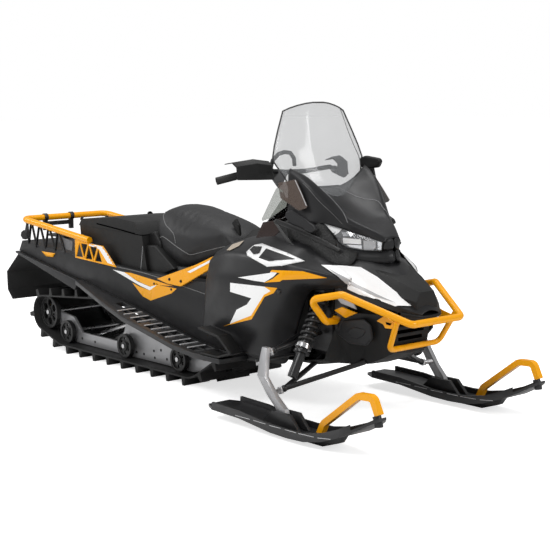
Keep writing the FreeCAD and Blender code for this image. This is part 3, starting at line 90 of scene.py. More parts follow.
# Camera, at the photograph's viewing angle.
CAMERA_PLACE = Vector((4.9505, -3.932, 1.376))
CAMERA_AZIMUTH = math.radians(49.03)
CAMERA_ELEVATION = math.radians(7.83)
CAMERA_ROLL = math.radians(-0.15)
CAMERA_LENS = 85.4
data = bpy.data.cameras.new("camera")
data.lens = CAMERA_LENS
data.sensor_width = 36
data.clip_end = 200
camera = new_object("camera", data)
camera.matrix_world = (Matrix.Translation(CAMERA_PLACE) @ Matrix.Rotation(CAMERA_AZIMUTH, 4, "Z")
                       @ Matrix.Rotation(math.radians(90) - CAMERA_ELEVATION, 4, "X")
                       @ Matrix.Rotation(CAMERA_ROLL, 4, "Z"))
bpy.context.scene.camera = camera

# Studio: a white floor that fades into a white background, and large soft lights.
FLOOR_GLOW = 0.68
FLOOR_REACH = 60
AMBIENT = 0.36
WHITE_LIGHT = (1, 1, 1, 1)


def area_light(name, place, target, size, power):
    data = bpy.data.lights.new(name, "AREA")
    data.shape = "RECTANGLE"
    data.size = size[0]
    data.size_y = size[1]
    data.energy = power
    light = new_object(name, data)
    light.location = place
    light.rotation_euler = (Vector(target) - Vector(place)).to_track_quat("-Z", "Y").to_euler()


def make_floor():
    mesh = bpy.data.meshes.new("floor")
    corners = [(x * FLOOR_REACH, y * FLOOR_REACH, 0) for x, y in ((-1, -1), (1, -1), (1, 1), (-1, 1))]
    mesh.from_pydata(corners, [], [(0, 1, 2, 3)])
    floor = new_object("floor", mesh)
    material, nodes, shader = new_material("studio_floor")
    set_inputs(shader, {"Base Color": (0.93, 0.93, 0.93, 1), "Roughness": 0.9, "Specular IOR Level": 0.0,
                        "Emission Color": WHITE_LIGHT})
    ray = nodes.new("ShaderNodeLightPath")
    glow = nodes.new("ShaderNodeMath")
    glow.operation = "MULTIPLY"
    glow.inputs[1].default_value = FLOOR_GLOW
    join(ray, "Is Camera Ray", glow, 0)
    join(glow, "Value", shader, "Emission Strength")
    mesh.materials.append(material)


def make_world():
    world = bpy.data.worlds.new("studio")
    world.use_nodes = True
    nodes = world.node_tree.nodes
    light_path = nodes.new("ShaderNodeLightPath")
    seen = nodes.new("ShaderNodeBackground")
    set_inputs(seen, {"Color": WHITE_LIGHT, "Strength": 1.0})
    lit = nodes["Background"]
    set_inputs(lit, {"Color": WHITE_LIGHT, "Strength": AMBIENT})
    choice = nodes.new("ShaderNodeMixShader")
    join(light_path, "Is Camera Ray", choice, "Fac")
    join(lit, "Background", choice, 1)
    join(seen, "Background", choice, 2)
    join(choice, "Shader", nodes["World Output"], "Surface")
    bpy.context.scene.world = world
    bpy.context.scene.view_settings.view_transform = "Standard"


make_floor()
make_world()
area_light("key", (1.5, -4.5, 4.5), (0, 0, 0.4), (2.4, 1.4), 120)
area_light("front", (6.0, 1.5, 3.2), (0.8, 0, 0.5), (1.6, 1.6), 80)
area_light("top", (-0.5, 0.5, 5.5), (0, 0, 0.4), (5, 2.4), 165)
area_light("rear", (-4.5, -3.0, 3.0), (-0.8, 0, 0.4), (3, 1.2), 60)

# Materials: each one has its own grain, patches of sheen and shade, all worked out from the surface's place.
PATCH_SIZE = 0.15
SHEEN_PATCH_SIZE = 0.06
SHEEN_SPREAD = 0.06
FINISHES = {}


def shade(colour, factor):
    return tuple(min(1.0, channel * factor) for channel in colour) + (1,)


def noise_node(nodes, place, size, detail):
    node = nodes.new("ShaderNodeTexNoise")
    set_inputs(node, {"Scale": 1 / size, "Detail": detail})
    join(place, "Object", node, "Vector")
    return node


def add_bump(nodes, shader, height, strength, distance):
    bump = nodes.new("ShaderNodeBump")
    set_inputs(bump, {"Strength": strength, "Distance": distance})
    join(*height, bump, "Height")
    join(bump, "Normal", shader, "Normal")


def finish(name, colour, roughness, metallic=0.0, grain=0.1, grain_size=0.001, patch=0.12, coat=0.0,
           specular=0.5, cells=False, bump_height=0.0002):
    """A finish with patchy shade and sheen, and a fine grain pressed into it."""
    material, nodes, shader = new_material(name)
    place = nodes.new("ShaderNodeTexCoord")
    patches = noise_node(nodes, place, PATCH_SIZE, 4.0)
    tone = nodes.new("ShaderNodeMix")
    tone.data_type = "RGBA"
    set_inputs(tone, {"A": shade(colour, 1 - patch), "B": shade(colour, 1 + patch)})
    join(patches, "Fac", tone, "Factor")
    join(tone, "Result", shader, "Base Color")
    sheen_patches = noise_node(nodes, place, SHEEN_PATCH_SIZE, 5.0)
    dullness = nodes.new("ShaderNodeMapRange")
    set_inputs(dullness, {"From Min": 0.3, "From Max": 0.7, "To Min": max(0.02, roughness - SHEEN_SPREAD),
                          "To Max": min(1.0, roughness + SHEEN_SPREAD)})
    join(sheen_patches, "Fac", dullness, "Value")
    join(dullness, "Result", shader, "Roughness")
    set_inputs(shader, {"Metallic": metallic, "Specular IOR Level": specular, "Coat Weight": coat,
                        "Coat Roughness": 0.12})
    if cells:
        pattern = nodes.new("ShaderNodeTexVoronoi")
        set_inputs(pattern, {"Scale": 1 / grain_size})
        join(place, "Object", pattern, "Vector")
        height = pattern, "Distance"
    else:
        height = noise_node(nodes, place, grain_size, 2.0), "Fac"
    add_bump(nodes, shader, height, grain, bump_height)
    FINISHES[name] = material
    return material


def clear_finish(name, tint, alpha, roughness=0.06):
    """Thin clear plastic: mostly see-through, with its own shine and a few faint patches."""
    material, nodes, shader = new_material(name)
    place = nodes.new("ShaderNodeTexCoord")
    patches = noise_node(nodes, place, 0.2, 2.0)
    amount = nodes.new("ShaderNodeMapRange")
    set_inputs(amount, {"To Min": alpha * 0.9, "To Max": min(1.0, alpha * 1.1)})
    join(patches, "Fac", amount, "Value")
    join(amount, "Result", shader, "Alpha")
    set_inputs(shader, {"Base Color": tint + (1,), "Roughness": roughness, "Specular IOR Level": 0.5})
    ripple = noise_node(nodes, place, 0.08, 1.0)
    add_bump(nodes, shader, (ripple, "Fac"), 0.05, 0.001)
    FINISHES[name] = material
    return material


finish("black_panel", (0.013, 0.013, 0.014), 0.4, grain=0.25, grain_size=0.0016, specular=0.35)
BLACK_PLASTIC = finish("black_plastic", (0.01, 0.01, 0.01), 0.5, grain=0.4, grain_size=0.0022, specular=0.3)
finish("dark_alloy", (0.02, 0.02, 0.021), 0.36, metallic=0.2, grain=0.12, grain_size=0.003)
finish("flap_rubber", (0.02, 0.02, 0.02), 0.62, grain=0.5, grain_size=0.004)
finish("orange_paint", (1.0, 0.41, 0.002), 0.3, grain=0.05, grain_size=0.006, patch=0.06, coat=0.2,
       specular=0.25)
finish("black_steel", (0.016, 0.016, 0.017), 0.36, metallic=0.1, grain=0.2, grain_size=0.003)
finish("seat_cover", (0.022, 0.022, 0.023), 0.5, grain=0.6, grain_size=0.0035, specular=0.35, cells=True,
       bump_height=0.0004)
finish("grey_cast", (0.2, 0.2, 0.2), 0.5, metallic=0.6, grain=0.4, grain_size=0.004)
clear_finish("clear_shield", (0.36, 0.37, 0.38), 0.3)
clear_finish("smoked_shield", (0.12, 0.09, 0.075), 0.74)
clear_finish("lamp_lens", (0.9, 0.92, 0.95), 0.16, 0.03)
BRIGHT = finish("lamp_reflector", (0.75, 0.76, 0.78), 0.12, metallic=1.0, grain=0.1, grain_size=0.01)
finish("track_rubber", (0.014, 0.014, 0.014), 0.6, grain=0.5, grain_size=0.004)
finish("wheel_plastic", (0.016, 0.016, 0.016), 0.45, grain=0.2, grain_size=0.003)
finish("bare_steel", (0.62, 0.62, 0.63), 0.28, metallic=1.0, grain=0.15, grain_size=0.002)
finish("bare_alloy", (0.42, 0.42, 0.43), 0.42, metallic=0.6, grain=0.2, grain_size=0.002, patch=0.25)
finish("cast_alloy", (0.45, 0.45, 0.46), 0.45, metallic=0.85, grain=0.5, grain_size=0.004)
finish("spring_steel", (0.02, 0.02, 0.02), 0.32, grain=0.15, grain_size=0.004)
finish("ski_plastic", (0.017, 0.017, 0.018), 0.4, grain=0.25, grain_size=0.003)
finish("grip_rubber", (0.015, 0.015, 0.015), 0.65, grain=0.6, grain_size=0.002, cells=True)
# Black with a mesh pattern: the real mesh of the cheeks and the intake, and painted shadow in the rail holes
# and the riser's recess.
MESH_AND_SHADOW_BLACK = finish("mesh_and_shadow_black", (0.008, 0.008, 0.008), 0.5, grain=1.0, grain_size=0.006, cells=True,
                    bump_height=0.002)
TAN_PAINT = finish("tan_paint", (0.45, 0.38, 0.3), 0.4, grain=0.1, grain_size=0.004)
PALE_SHIELD = clear_finish("pale_shield", (0.3, 0.32, 0.29), 0.5)
BROWN_SHIELD = clear_finish("brown_shield", (0.03, 0.015, 0.012), 0.93)
# Grey for the seat's real piping, and for painted highlights along the tunnel's edge and the cowl's crease.
PIPING_AND_HIGHLIGHT = finish("piping", (0.16, 0.16, 0.16), 0.5, grain=0.3, grain_size=0.002)
EDGE_GREY = finish("edge_grey", (0.03, 0.03, 0.03), 0.3, grain=0.05, grain_size=0.004)
# Black with no shine: painted shadow in the lid's gap and in the bumper tab's hole.
SHADOW_BLACK = finish("painted_shadow_black", (0.001, 0.001, 0.001), 0.9, grain=0.1, grain_size=0.004, specular=0.0)
# Grey for the rack's grey panel, and for the painted highlight along the cowl's ridge.
PANEL_GREY_AND_HIGHLIGHT = finish("panel_grey_and_highlight", (0.17, 0.17, 0.175), 0.45, metallic=0.4, grain=0.2, grain_size=0.003)
# Light silver for the real rungs, and for painted highlight streaks along the skis.
RUNG_SILVER_AND_HIGHLIGHT = finish("rung_silver_and_highlight", (0.6, 0.6, 0.61), 0.4, metallic=0.3, grain=0.2, grain_size=0.003)
# White for the real white graphics, for a painted highlight on the brace, and for painted reflections in the
# headlamp cells.
WHITE_PAINT_AND_HIGHLIGHT = finish("white_paint_and_highlight", (0.96, 0.96, 0.96), 0.3, grain=0.05, grain_size=0.006, patch=0.03,
                     coat=0.4)
# Grey for grey graphics and lamp cells, and for painted highlights along the box's corner and the deflector's
# front edge.
GREY_PAINT_AND_HIGHLIGHT = finish("grey_paint_and_highlight", (0.42, 0.42, 0.43), 0.35, grain=0.08, grain_size=0.004, patch=0.08,
                    coat=0.2)
RISER_GREY = finish("riser_grey", (0.1, 0.1, 0.103), 0.4, grain=0.2, grain_size=0.003)

NODES = frame["nodes"]
SLOT_OF = {entry["node"]: entry["material_slot"] for entry in frame["record"]["subparts"]}


def dress(node, slot):
    """Gives a CAD node the finish of a material slot."""
    materials = NODES[node].data.materials
    materials.clear()
    materials.append(FINISHES[slot])


for node_name, slot_name in SLOT_OF.items():
    dress(node_name, slot_name)

# Building blocks for the pieces.
LEFT_FIRST = ((1, "left"), (-1, "right"))
RIGHT_FIRST = ((-1, "right"), (1, "left"))
PANEL_WALL = 3.0
PATH_STEPS = 8
ACROSS = Vector((0, 1, 0))


def add_piece(name, data, slot, material=None, body="chassis"):
    """A new piece that rides a body, with the finish of its slot or one of its own."""
    piece = new_object(name, data)
    data.materials.append(material or FINISHES[slot])
    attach(piece, body)
    return piece


def shade_smooth(mesh):
    for face in mesh.polygons:
        face.use_smooth = True


def mesh_of(name, shape):
    """The mesh of a shape that is built up in full."""
    mesh = bpy.data.meshes.new(name)
    shape.to_mesh(mesh)
    shape.free()
    return mesh


def add_cone(shape, sides, low, high, depth, place):
    """A closed cone or disc with two radii, in a shape that is being built up."""
    bmesh.ops.create_cone(shape, cap_ends=True, segments=sides, radius1=low * MM, radius2=high * MM,
                          depth=depth * MM, matrix=place)


def thicken(piece, wall, offset=-1):
    thickness = piece.modifiers.new("thickness", "SOLIDIFY")
    thickness.thickness = wall * MM
    thickness.offset = offset


def subdivide(piece, levels):
    rounding = piece.modifiers.new("rounding", "SUBSURF")
    rounding.levels = levels
    rounding.render_levels = levels


def round_edges(piece, width, angle=20, segments=3, harden=True):
    """Rounds the edges that turn by more than an angle in degrees."""
    rounding = piece.modifiers.new("rounding", "BEVEL")
    rounding.width = width * MM
    rounding.segments = segments
    rounding.limit_method = "ANGLE"
    rounding.angle_limit = math.radians(angle)
    rounding.harden_normals = harden


def grid_mesh(name, rows, closed=False):
    """A soft-shaded mesh of quads through rows of points, all rows with the same count."""
    mesh = bpy.data.meshes.new(name)
    wide = len(rows[0])
    points = [tuple(point) for row in rows for point in row]
    faces = []
    for i in range(len(rows) - 1):
        for j in range(wide if closed else wide - 1):
            k = (j + 1) % wide
            faces.append((i * wide + j, i * wide + k, (i + 1) * wide + k, (i + 1) * wide + j))
    mesh.from_pydata(points, [], faces)
    shade_smooth(mesh)
    return mesh


def crease_rows(mesh, wide, lines):
    """Sharpens the lengthwise lines named by their index, and the sheet's outer edges."""
    creases = mesh.attributes.new("crease_edge", "FLOAT", "EDGE")
    uses = {}
    for face in mesh.polygons:
        for key in face.edge_keys:
            uses[key] = uses.get(key, 0) + 1
    for edge in mesh.edges:
        a, b = sorted(edge.vertices)
        if uses[(a, b)] == 1:
            creases.data[edge.index].value = 1.0
        elif a % wide == b % wide and a % wide in lines:
            creases.data[edge.index].value = lines[a % wide]


def skin(name, node, stations, lines, levels=3, flip=False, mirror=False):
    """A moulded panel in a node's place: a curved sheet through outlines (Y, Z) at places along X, thick and
    with soft edges. A point may have a third number, which moves it along X."""
    sign = -1 if mirror else 1
    rows = []
    for x, line in stations:
        rows.append([at(x + (p[2] if len(p) > 2 else 0), sign * p[0], p[1]) for p in line])
    mesh = grid_mesh(name, rows)
    if flip != mirror:
        mesh.flip_normals()
    crease_rows(mesh, len(rows[0]), lines)
    piece = add_piece(name, mesh, "black_panel")
    subdivide(piece, levels)
    thicken(piece, PANEL_WALL)
    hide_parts(node)
    return piece


def both(stations):
    """Stations with outlines given from one edge to the middle, carried on to the other edge."""
    return [(x, [(-p[0],) + tuple(p[1:]) for p in line] + [tuple(p) for p in line[-2::-1]])
            for x, line in stations]


def two_sided(name, rows, slot, material=None, levels=1):
    """A sheet through rows of points (x, y, z) given for the left, and its mirror image."""
    made = []
    for side, suffix in LEFT_FIRST:
        mesh = grid_mesh(name, [[at(x, side * y, z) for x, y, z in row] for row in rows])
        piece = add_piece(name + "_" + suffix, mesh, slot, material)
        subdivide(piece, levels)
        thicken(piece, PANEL_WALL, offset=0)
        made.append(piece)
    return made


def along_sight(place, y):
    """The place on another plane across the machine that covers the same spot in the picture."""
    share = (y * MM - CAMERA_PLACE.y) / (place.y - CAMERA_PLACE.y)
    return CAMERA_PLACE.lerp(place, share)


def blocks(name, outlines):
    """A mesh of closed blocks, each between a near and a far outline with the same count of corners."""
    shape = bmesh.new()
    for near_places, far_places in outlines:
        near = [shape.verts.new(place) for place in near_places]
        far = [shape.verts.new(place) for place in far_places]
        shape.faces.new(near)
        shape.faces.new(far[::-1])
        for k in range(len(near)):
            n = (k + 1) % len(near)
            shape.faces.new([near[n], near[k], far[k], far[n]])
    bmesh.ops.recalc_face_normals(shape, faces=shape.faces[:])
    mesh = mesh_of(name, shape)
    shade_smooth(mesh)
    return mesh


def prism(name, outline, y0, y1, bevel, slot, material=None, mirror=True, bend=None, body="chassis"):
    """A plate or block with an outline (X, Z) between two places across, and its mirror image.
    A bend gives each corner its own place across, moved along the line of sight."""
    corners = [at(x, y0, z) for x, z in outline]
    if bend:
        corners = [along_sight(corner, bend(x, z)) for corner, (x, z) in zip(corners, outline)]
    outlines = []
    for side in (1, -1) if mirror else (1,):
        near = [(c.x, side * c.y, c.z) for c in corners]
        far = [(c.x, side * (c.y + (y1 - y0) * MM), c.z) for c in corners]
        outlines.append((near, far))
    piece = add_piece(name, blocks(name, outlines), slot, material, body)
    round_edges(piece, bevel)
    return piece


def shell_tree(*pieces):
    """A search tree of the shells as they look with their rounding."""
    graph = bpy.context.evaluated_depsgraph_get()
    points, faces = [], []
    for piece in pieces:
        shape = piece.evaluated_get(graph)
        mesh = shape.to_mesh()
        start = len(points)
        points += [piece.matrix_world @ vertex.co for vertex in mesh.vertices]
        faces += [[start + k for k in face.vertices] for face in mesh.polygons]
        shape.to_mesh_clear()
    return BVHTree.FromPolygons(points, faces)


def sheet_in_outline(name, outline, y, step):
    """A finely divided flat sheet whose edge is the outline (X, Z) on the plane of one Y."""
    shape = bmesh.new()
    corners = [shape.verts.new(at(x, y, z)) for x, z in outline]
    shape.faces.new(corners)
    low = Vector(min(c.co[i] for c in corners) for i in range(3))
    high = Vector(max(c.co[i] for c in corners) for i in range(3))
    for axis in (0, 2):
        normal = Vector((0, 0, 0))
        normal[axis] = 1
        cut = low[axis] + step * MM
        while cut < high[axis]:
            place = Vector((0, 0, 0))
            place[axis] = cut
            bmesh.ops.bisect_plane(shape, geom=shape.verts[:] + shape.edges[:] + shape.faces[:],
                                   plane_co=place, plane_no=normal)
            cut += step * MM
    bmesh.ops.triangulate(shape, faces=shape.faces[:])
    return mesh_of(name, shape)


def seen_on(tree, place, lift, nearest=False):
    """Where the line of sight through a place meets the shells, raised by the lift in millimetres.
    A miss gives nothing, or the nearest spot where that is asked for."""
    sight = (place - CAMERA_PLACE).normalized()
    spot, normal, _, _ = tree.ray_cast(CAMERA_PLACE, sight)
    if spot is None and nearest:
        spot, normal, _, _ = tree.find_nearest(place)
    if spot is None:
        return None
    if normal.dot(sight) > 0:
        normal = -normal
    return spot + normal * lift * MM


def graphic(name, outline, y, tree, slot, material=None, lift=0.6, step=14, thick=0.0):
    """A thin sheet in an outline (X, Z), laid on the shells along the photograph's lines of sight, on the
    near side, and its mirror image on the far side."""
    mesh = sheet_in_outline(name, outline, y, step)
    for vertex in mesh.vertices:
        vertex.co = seen_on(tree, vertex.co, lift, nearest=True)
    shade_smooth(mesh)
    for side, suffix in ((1, "right"), (-1, "left")):
        copy = mesh.copy()
        if side < 0:
            copy.transform(Matrix.Scale(-1, 4, ACROSS))
        piece = add_piece(name + "_" + suffix, copy, slot, material)
        if thick:
            thicken(piece, thick, offset=0)


def smooth_path(points):
    """Points along a soft curve through the given ones."""
    ends = [points[0]] + list(points) + [points[-1]]
    path = []
    for i in range(1, len(ends) - 2):
        a, b, c, d = (Vector(p) for p in ends[i - 1:i + 3])
        for k in range(PATH_STEPS):
            t = k / PATH_STEPS
            path.append(0.5 * (2 * b + (c - a) * t + (2 * a - 5 * b + 4 * c - d) * t * t
                               + (3 * b - a - 3 * c + d) * t ** 3))
    path.append(Vector(points[-1]))
    return path


def mirrored_path(path):
    return [Vector((p.x, -p.y, p.z)) for p in path]


def tube(name, path, radius, slot, material=None, body="chassis", cyclic=False, resolution=3):
    """A round bar along a path."""
    curve = bpy.data.curves.new(name, "CURVE")
    curve.dimensions = "3D"
    curve.bevel_depth = radius * MM
    curve.bevel_resolution = resolution
    curve.use_fill_caps = True
    spline = curve.splines.new("POLY")
    spline.points.add(len(path) - 1)
    for point, place in zip(spline.points, path):
        point.co = (*place, 1)
    spline.use_cyclic_u = cyclic
    spline.use_smooth = True
    return add_piece(name, curve, slot, material, body)


def tube_pair(name, path, radius, slot, material=None, cyclic=False):
    """A round bar on the right, and its mirror image, which is given back."""
    tube(name + "_right", path, radius, slot, material, cyclic=cyclic)
    return tube(name + "_left", mirrored_path(path), radius, slot, material, cyclic=cyclic)


def sight_line(name, points, y, tree, radius, slot, material=None, lift=0.5):
    """A thin line through points (X, Z), laid on the shells along the lines of sight, on both sides."""
    places = [seen_on(tree, place, lift) for place in smooth_path([at(x, y, z) for x, z in points])]
    tube_pair(name, [place for place in places if place is not None], radius, slot, material)


# Body panels: rows run from the top edge over the shoulder's crease and down, on the hood to the middle.
HOOD_STATIONS = [
    (-70, [(256, 628), (262, 640), (262, 662), (256, 680), (130, 728), (0, 744)]),
    (-20, [(228, 612), (232, 630), (236, 655), (226, 674), (120, 722), (0, 738)]),
    (20, [(214, 586), (216, 610), (214, 645), (197, 671), (110, 712), (0, 732)]),
    (60, [(204, 566), (205, 596), (194, 630), (164, 669), (90, 708), (0, 724)]),
    (110, [(190, 545), (190, 575), (172, 612), (137, 656), (76, 690), (0, 702)]),
    (160, [(172, 530), (175, 560), (150, 592), (119, 630), (64, 657), (0, 668)]),
    (210, [(152, 518), (158, 547), (133, 572), (107, 598), (57, 620), (0, 632)]),
    (260, [(132, 506), (138, 534), (112, 547), (86, 561), (46, 580), (0, 591)]),
    (300, [(102, 494), (108, 516), (90, 522), (71, 528), (38, 542), (0, 552)]),
    (330, [(76, 487), (80, 502), (66, 508), (53, 513), (28, 521), (0, 526)]),
    (350, [(46, 481), (49, 491), (41, 496), (32, 500), (17, 504), (0, 507)]),
]
SIDE_STATIONS = [
    (-720, [(212, 690), (262, 668), (302, 633), (325, 540), (335, 435), (345, 322)]),
    (-640, [(208, 720), (264, 698), (318, 664), (350, 565), (356, 425), (330, 290)]),
    (-560, [(205, 745), (265, 722), (332, 692), (370, 588), (372, 418), (315, 264)]),
    (-450, [(200, 768), (264, 740), (340, 695), (372, 584), (372, 408), (290, 236)]),
    (-350, [(195, 785), (262, 755), (345, 694), (372, 580), (370, 400), (270, 214)]),
    (-262, [(195, 777), (262, 747), (346, 686), (368, 588), (352, 412), (256, 222)]),
    (-165, [(195, 767), (262, 737), (345, 677), (361, 610), (330, 450, -75), (244, 232, -78)]),
    (-136, [(198, 758), (262, 730), (332, 672), (346, 640), (335, 590), (240, 566)]),
    (-80, [(220, 710), (250, 698), (300, 660), (308, 636), (292, 592), (240, 570)]),
    (0, [(206, 668), (232, 662), (264, 643), (264, 627), (252, 594), (226, 576)]),
    (48, [(196, 642), (212, 640), (234, 630), (234, 618), (226, 600), (206, 588)]),
    (80, [(188, 622), (194, 621), (200, 616), (200, 611), (196, 604), (188, 598)]),
]
SIDE_CREASES = {1: 0.55, 2: 0.9, 3: 0.45, 4: 0.3}

side_shell = skin("side_shell_right", "side_panel_right", SIDE_STATIONS, SIDE_CREASES, mirror=True)
skin("side_shell_left", "side_panel_left", SIDE_STATIONS, SIDE_CREASES)
hood_shell = skin("hood_shell", "hood", both(HOOD_STATIONS), {1: 0.7, 3: 0.75, 7: 0.75, 9: 0.7}, flip=True)

# Upper cowl: a trough between two ridges, from the windshield's sides down to the nose between the lamps.
SURROUND_STATIONS = [
    (-262, [(240, 862), (236, 960), (234, 1050), (224, 1070), (150, 1002), (0, 960)]),
    (-220, [(240, 852), (232, 945), (226, 1034), (211, 1057), (130, 980), (0, 940)]),
    (-180, [(240, 843), (226, 925), (213, 1010), (192, 1033), (110, 952), (0, 922)]),
    (-150, [(240, 836), (222, 905), (206, 985), (182, 1009), (100, 934), (0, 908)]),
    (-120, [(222, 840), (204, 890), (190, 955), (167, 980), (92, 915), (0, 893)]),
    (-90, [(190, 845), (186, 880), (175, 926), (152, 950), (85, 898), (0, 880)]),
    (-50, [(152, 830), (156, 852), (156, 884), (134, 903), (75, 874), (0, 862)]),
    (-20, [(128, 821), (132, 836), (140, 850), (122, 866), (66, 854), (0, 848)]),
    (40, [(96, 800), (100, 808), (108, 822), (92, 838), (50, 836), (0, 836)]),
    (100, [(64, 780), (66, 786), (66, 794), (56, 806), (28, 810), (0, 812)]),
    (134, [(46, 769), (46, 772), (42, 776), (34, 782), (16, 786), (0, 788)]),
]
surround_shell = skin("surround_shell", "windshield_surround", both(SURROUND_STATIONS),
                      {2: 0.85, 3: 0.85, 7: 0.85, 8: 0.85}, levels=2, flip=True)

# Cheeks: the mesh-covered walls below the upper cowl, behind the bars.
CHEEK_ROWS = [
    [(-262, 242, 866), (-262, 240, 800), (-262, 234, 752)],
    [(-180, 240, 846), (-180, 236, 790), (-180, 230, 740)],
    [(-120, 219, 843), (-120, 224, 785), (-120, 228, 726)],
    [(-88, 188, 845), (-88, 208, 785), (-88, 226, 706)],
    [(-33, 168, 789), (-33, 192, 745), (-33, 218, 676)],
    [(-18, 140, 735), (-10, 176, 715), (4, 206, 664)],
    [(40, 104, 736), (50, 130, 715), (60, 160, 672)],
]
BROW_ROWS = [
    [(-33, 168, 787), (-22, 140, 733), (119, 50, 731), (138, 26, 735), (143, 0, 737)],
    [(-16, 186, 742), (2, 152, 698), (138, 60, 682), (150, 30, 684), (154, 0, 685)],
]
BEAK_ROWS = [
    [(130, 48, 770), (136, 30, 784), (137, 0, 788)],
    [(120, 51, 731), (139, 27, 737), (143, 0, 739)],
]

cheeks = two_sided("cheek", CHEEK_ROWS, "black_plastic", MESH_AND_SHADOW_BLACK)
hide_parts("side_vents")
two_sided("lamp_brow", BROW_ROWS, "black_panel")
two_sided("beak", BEAK_ROWS, "black_panel", levels=2)

BAR_Y = -246
BAR_OUTER_Y = -256
BAR_BEND_X = -178
BAR_UPPER = [(-352, 838), (-330, 848), (-178, 820), (-14, 776), (70, 752), (60, 740), (-20, 756), (-182, 800),
             (-318, 826)]
BAR_LOWER = [(-352, 838), (-318, 826), (-222, 750), (-60, 700), (-48, 686), (-70, 684), (-240, 732)]
POD = [(-270, 884), (-227, 896), (-90, 834), (-78, 816), (-110, 802), (-238, 829), (-275, 862)]


def bar_place(x, z):
    """The bars follow the cheek inwards towards the nose."""
    return BAR_OUTER_Y + 0.28 * max(0, x - BAR_BEND_X)


prism("bar_upper", BAR_UPPER, BAR_Y, -236, 4, "black_plastic", EDGE_GREY, bend=bar_place)
prism("bar_lower", BAR_LOWER, BAR_Y, -238, 4, "black_plastic", EDGE_GREY, bend=bar_place)
prism("cheek_pod", POD, -222, BAR_Y, 8, "black_panel")

# Graphics on the side panels and the tunnel. Each outline is drawn on the plane of one Y.
SIDE_Y = -370
INTAKE_Y = -300
TUNNEL_Y = -268
tree = shell_tree(side_shell)
graphic("side_flash", [(-493, 564), (-261, 572), (-215, 560), (-261, 534), (-346, 432), (-500, 378),
         (-450, 450), (-380, 481), (-350, 512), (-494, 524)], SIDE_Y, tree, "black_panel", WHITE_PAINT_AND_HIGHLIGHT)
graphic("side_border", [(-261, 572), (-179, 576), (-203, 551), (-261, 528), (-347, 421), (-545, 364),
         (-500, 380), (-352, 436), (-266, 536), (-222, 558)], SIDE_Y, tree, "orange_paint", lift=1.2)
graphic("shoulder_white", [(-440, 593), (-228, 634), (-211, 645), (-170, 648), (-205, 620), (-261, 591),
         (-330, 590)], SIDE_Y, tree, "black_panel", WHITE_PAINT_AND_HIGHLIGHT)
graphic("shoulder_orange", [(-222, 640), (-211, 648), (-19, 662), (126, 650), (20, 636), (-146, 614),
         (-162, 605), (-261, 589), (-205, 612), (-160, 640), (-19, 646), (-130, 640)], SIDE_Y, tree,
        "orange_paint", lift=3)
graphic("intake_frame", [(-463, 695), (-412, 729), (-356, 741), (-183, 713), (-85, 691), (-226, 659),
         (-323, 645), (-457, 681)], INTAKE_Y, tree, "black_panel", WHITE_PAINT_AND_HIGHLIGHT, lift=2.5, thick=3.0)
graphic("intake_mouth", [(-440, 705), (-412, 723), (-356, 726), (-373, 696), (-412, 687)], INTAKE_Y, tree,
        "black_plastic", MESH_AND_SHADOW_BLACK, lift=6, step=8)
graphic("intake_window", [(-329, 720), (-142, 692), (-312, 669), (-376, 678)], INTAKE_Y, tree,
        "black_panel", lift=6, step=8)
graphic("shoulder_mark", [(-614, 688), (-573, 718), (-491, 742), (-526, 715), (-590, 689)], -290, tree,
        "black_panel", TAN_PAINT, lift=3.5, step=6)

tree = shell_tree(NODES["tunnel"])
graphic("tunnel_white", [(-1562, 508), (-1459, 505), (-1346, 470), (-1242, 455), (-1179, 471), (-1242, 437),
         (-1318, 450)], TUNNEL_Y, tree, "black_panel", WHITE_PAINT_AND_HIGHLIGHT)
graphic("tunnel_orange", [(-1389, 459), (-1305, 402), (-1236, 387), (-1065, 442), (-1021, 470),
         (-1179, 471), (-1242, 437), (-1330, 447)], TUNNEL_Y, tree, "orange_paint", lift=0.9)
graphic("tunnel_top_orange", [(-1459, 505), (-1400, 507), (-1045, 479), (-1179, 470), (-1242, 456),
         (-1346, 472)], TUNNEL_Y, tree, "orange_paint", lift=0.9)
graphic("side_marker", [(-2242, 541), (-2106, 542), (-2129, 519), (-2195, 518)], TUNNEL_Y, tree,
        "orange_paint", lift=2.5, thick=3.0)
graphic("trim_edge", [(-1771, 626), (-1634, 616), (-1530, 532), (-1599, 539), (-1672, 602), (-1764, 613)],
        -273, shell_tree(NODES["rack_trim"]), "black_panel", WHITE_PAINT_AND_HIGHLIGHT)
# A white painted highlight along the orange brace.
graphic("brace_highlight", [(-917, 562), (-740, 635), (-745, 622), (-891, 560)], -285,
        shell_tree(NODES["frame_braces"]), "orange_paint", WHITE_PAINT_AND_HIGHLIGHT, lift=0.9)

# Softened copies of CAD nodes: the same shapes with rounded edges that catch the light, widths in mm.
SOFT_EDGES = {
    "lower_cowl": 6, "nose_core": 8, "cargo_box": 9, "cargo_lid": 12, "seat_base": 10, "fuel_tank": 16,
    "dash": 8, "gauge_pod": 8, "hand_guards": 5, "tunnel": 4, "side_beams": 3, "running_boards": 2,
    "toe_holds": 3, "snow_flap": 2, "frame_braces": 3, "rack_trim": 1.5, "rack_posts": 2,
    "spindle_left": 4, "spindle_right": 4, "ski_left": 3, "ski_right": 3, "slide_rails": 2,
    "bogie_wheels": 1.5, "rear_idlers": 1.5, "front_frame": 3, "track": 1.5, "tow_hitch": 2,
}
SOFT_ANGLE = 22
SAME_POINT = 0.00002
FLAT_ANGLE = math.radians(0.6)


def soften(node, width):
    source = NODES[node]
    shape = bmesh.new()
    shape.from_mesh(source.data)
    bmesh.ops.remove_doubles(shape, verts=shape.verts[:], dist=SAME_POINT)
    bmesh.ops.dissolve_limit(shape, angle_limit=FLAT_ANGLE, verts=shape.verts[:], edges=shape.edges[:])
    mesh = mesh_of(node + "_soft", shape)
    shade_smooth(mesh)
    piece = add_piece(node + "_soft", mesh, SLOT_OF[node], body=source["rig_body"])
    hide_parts(node)
    round_edges(piece, width, angle=SOFT_ANGLE)


for node_name, edge_width in SOFT_EDGES.items():
    soften(node_name, edge_width)

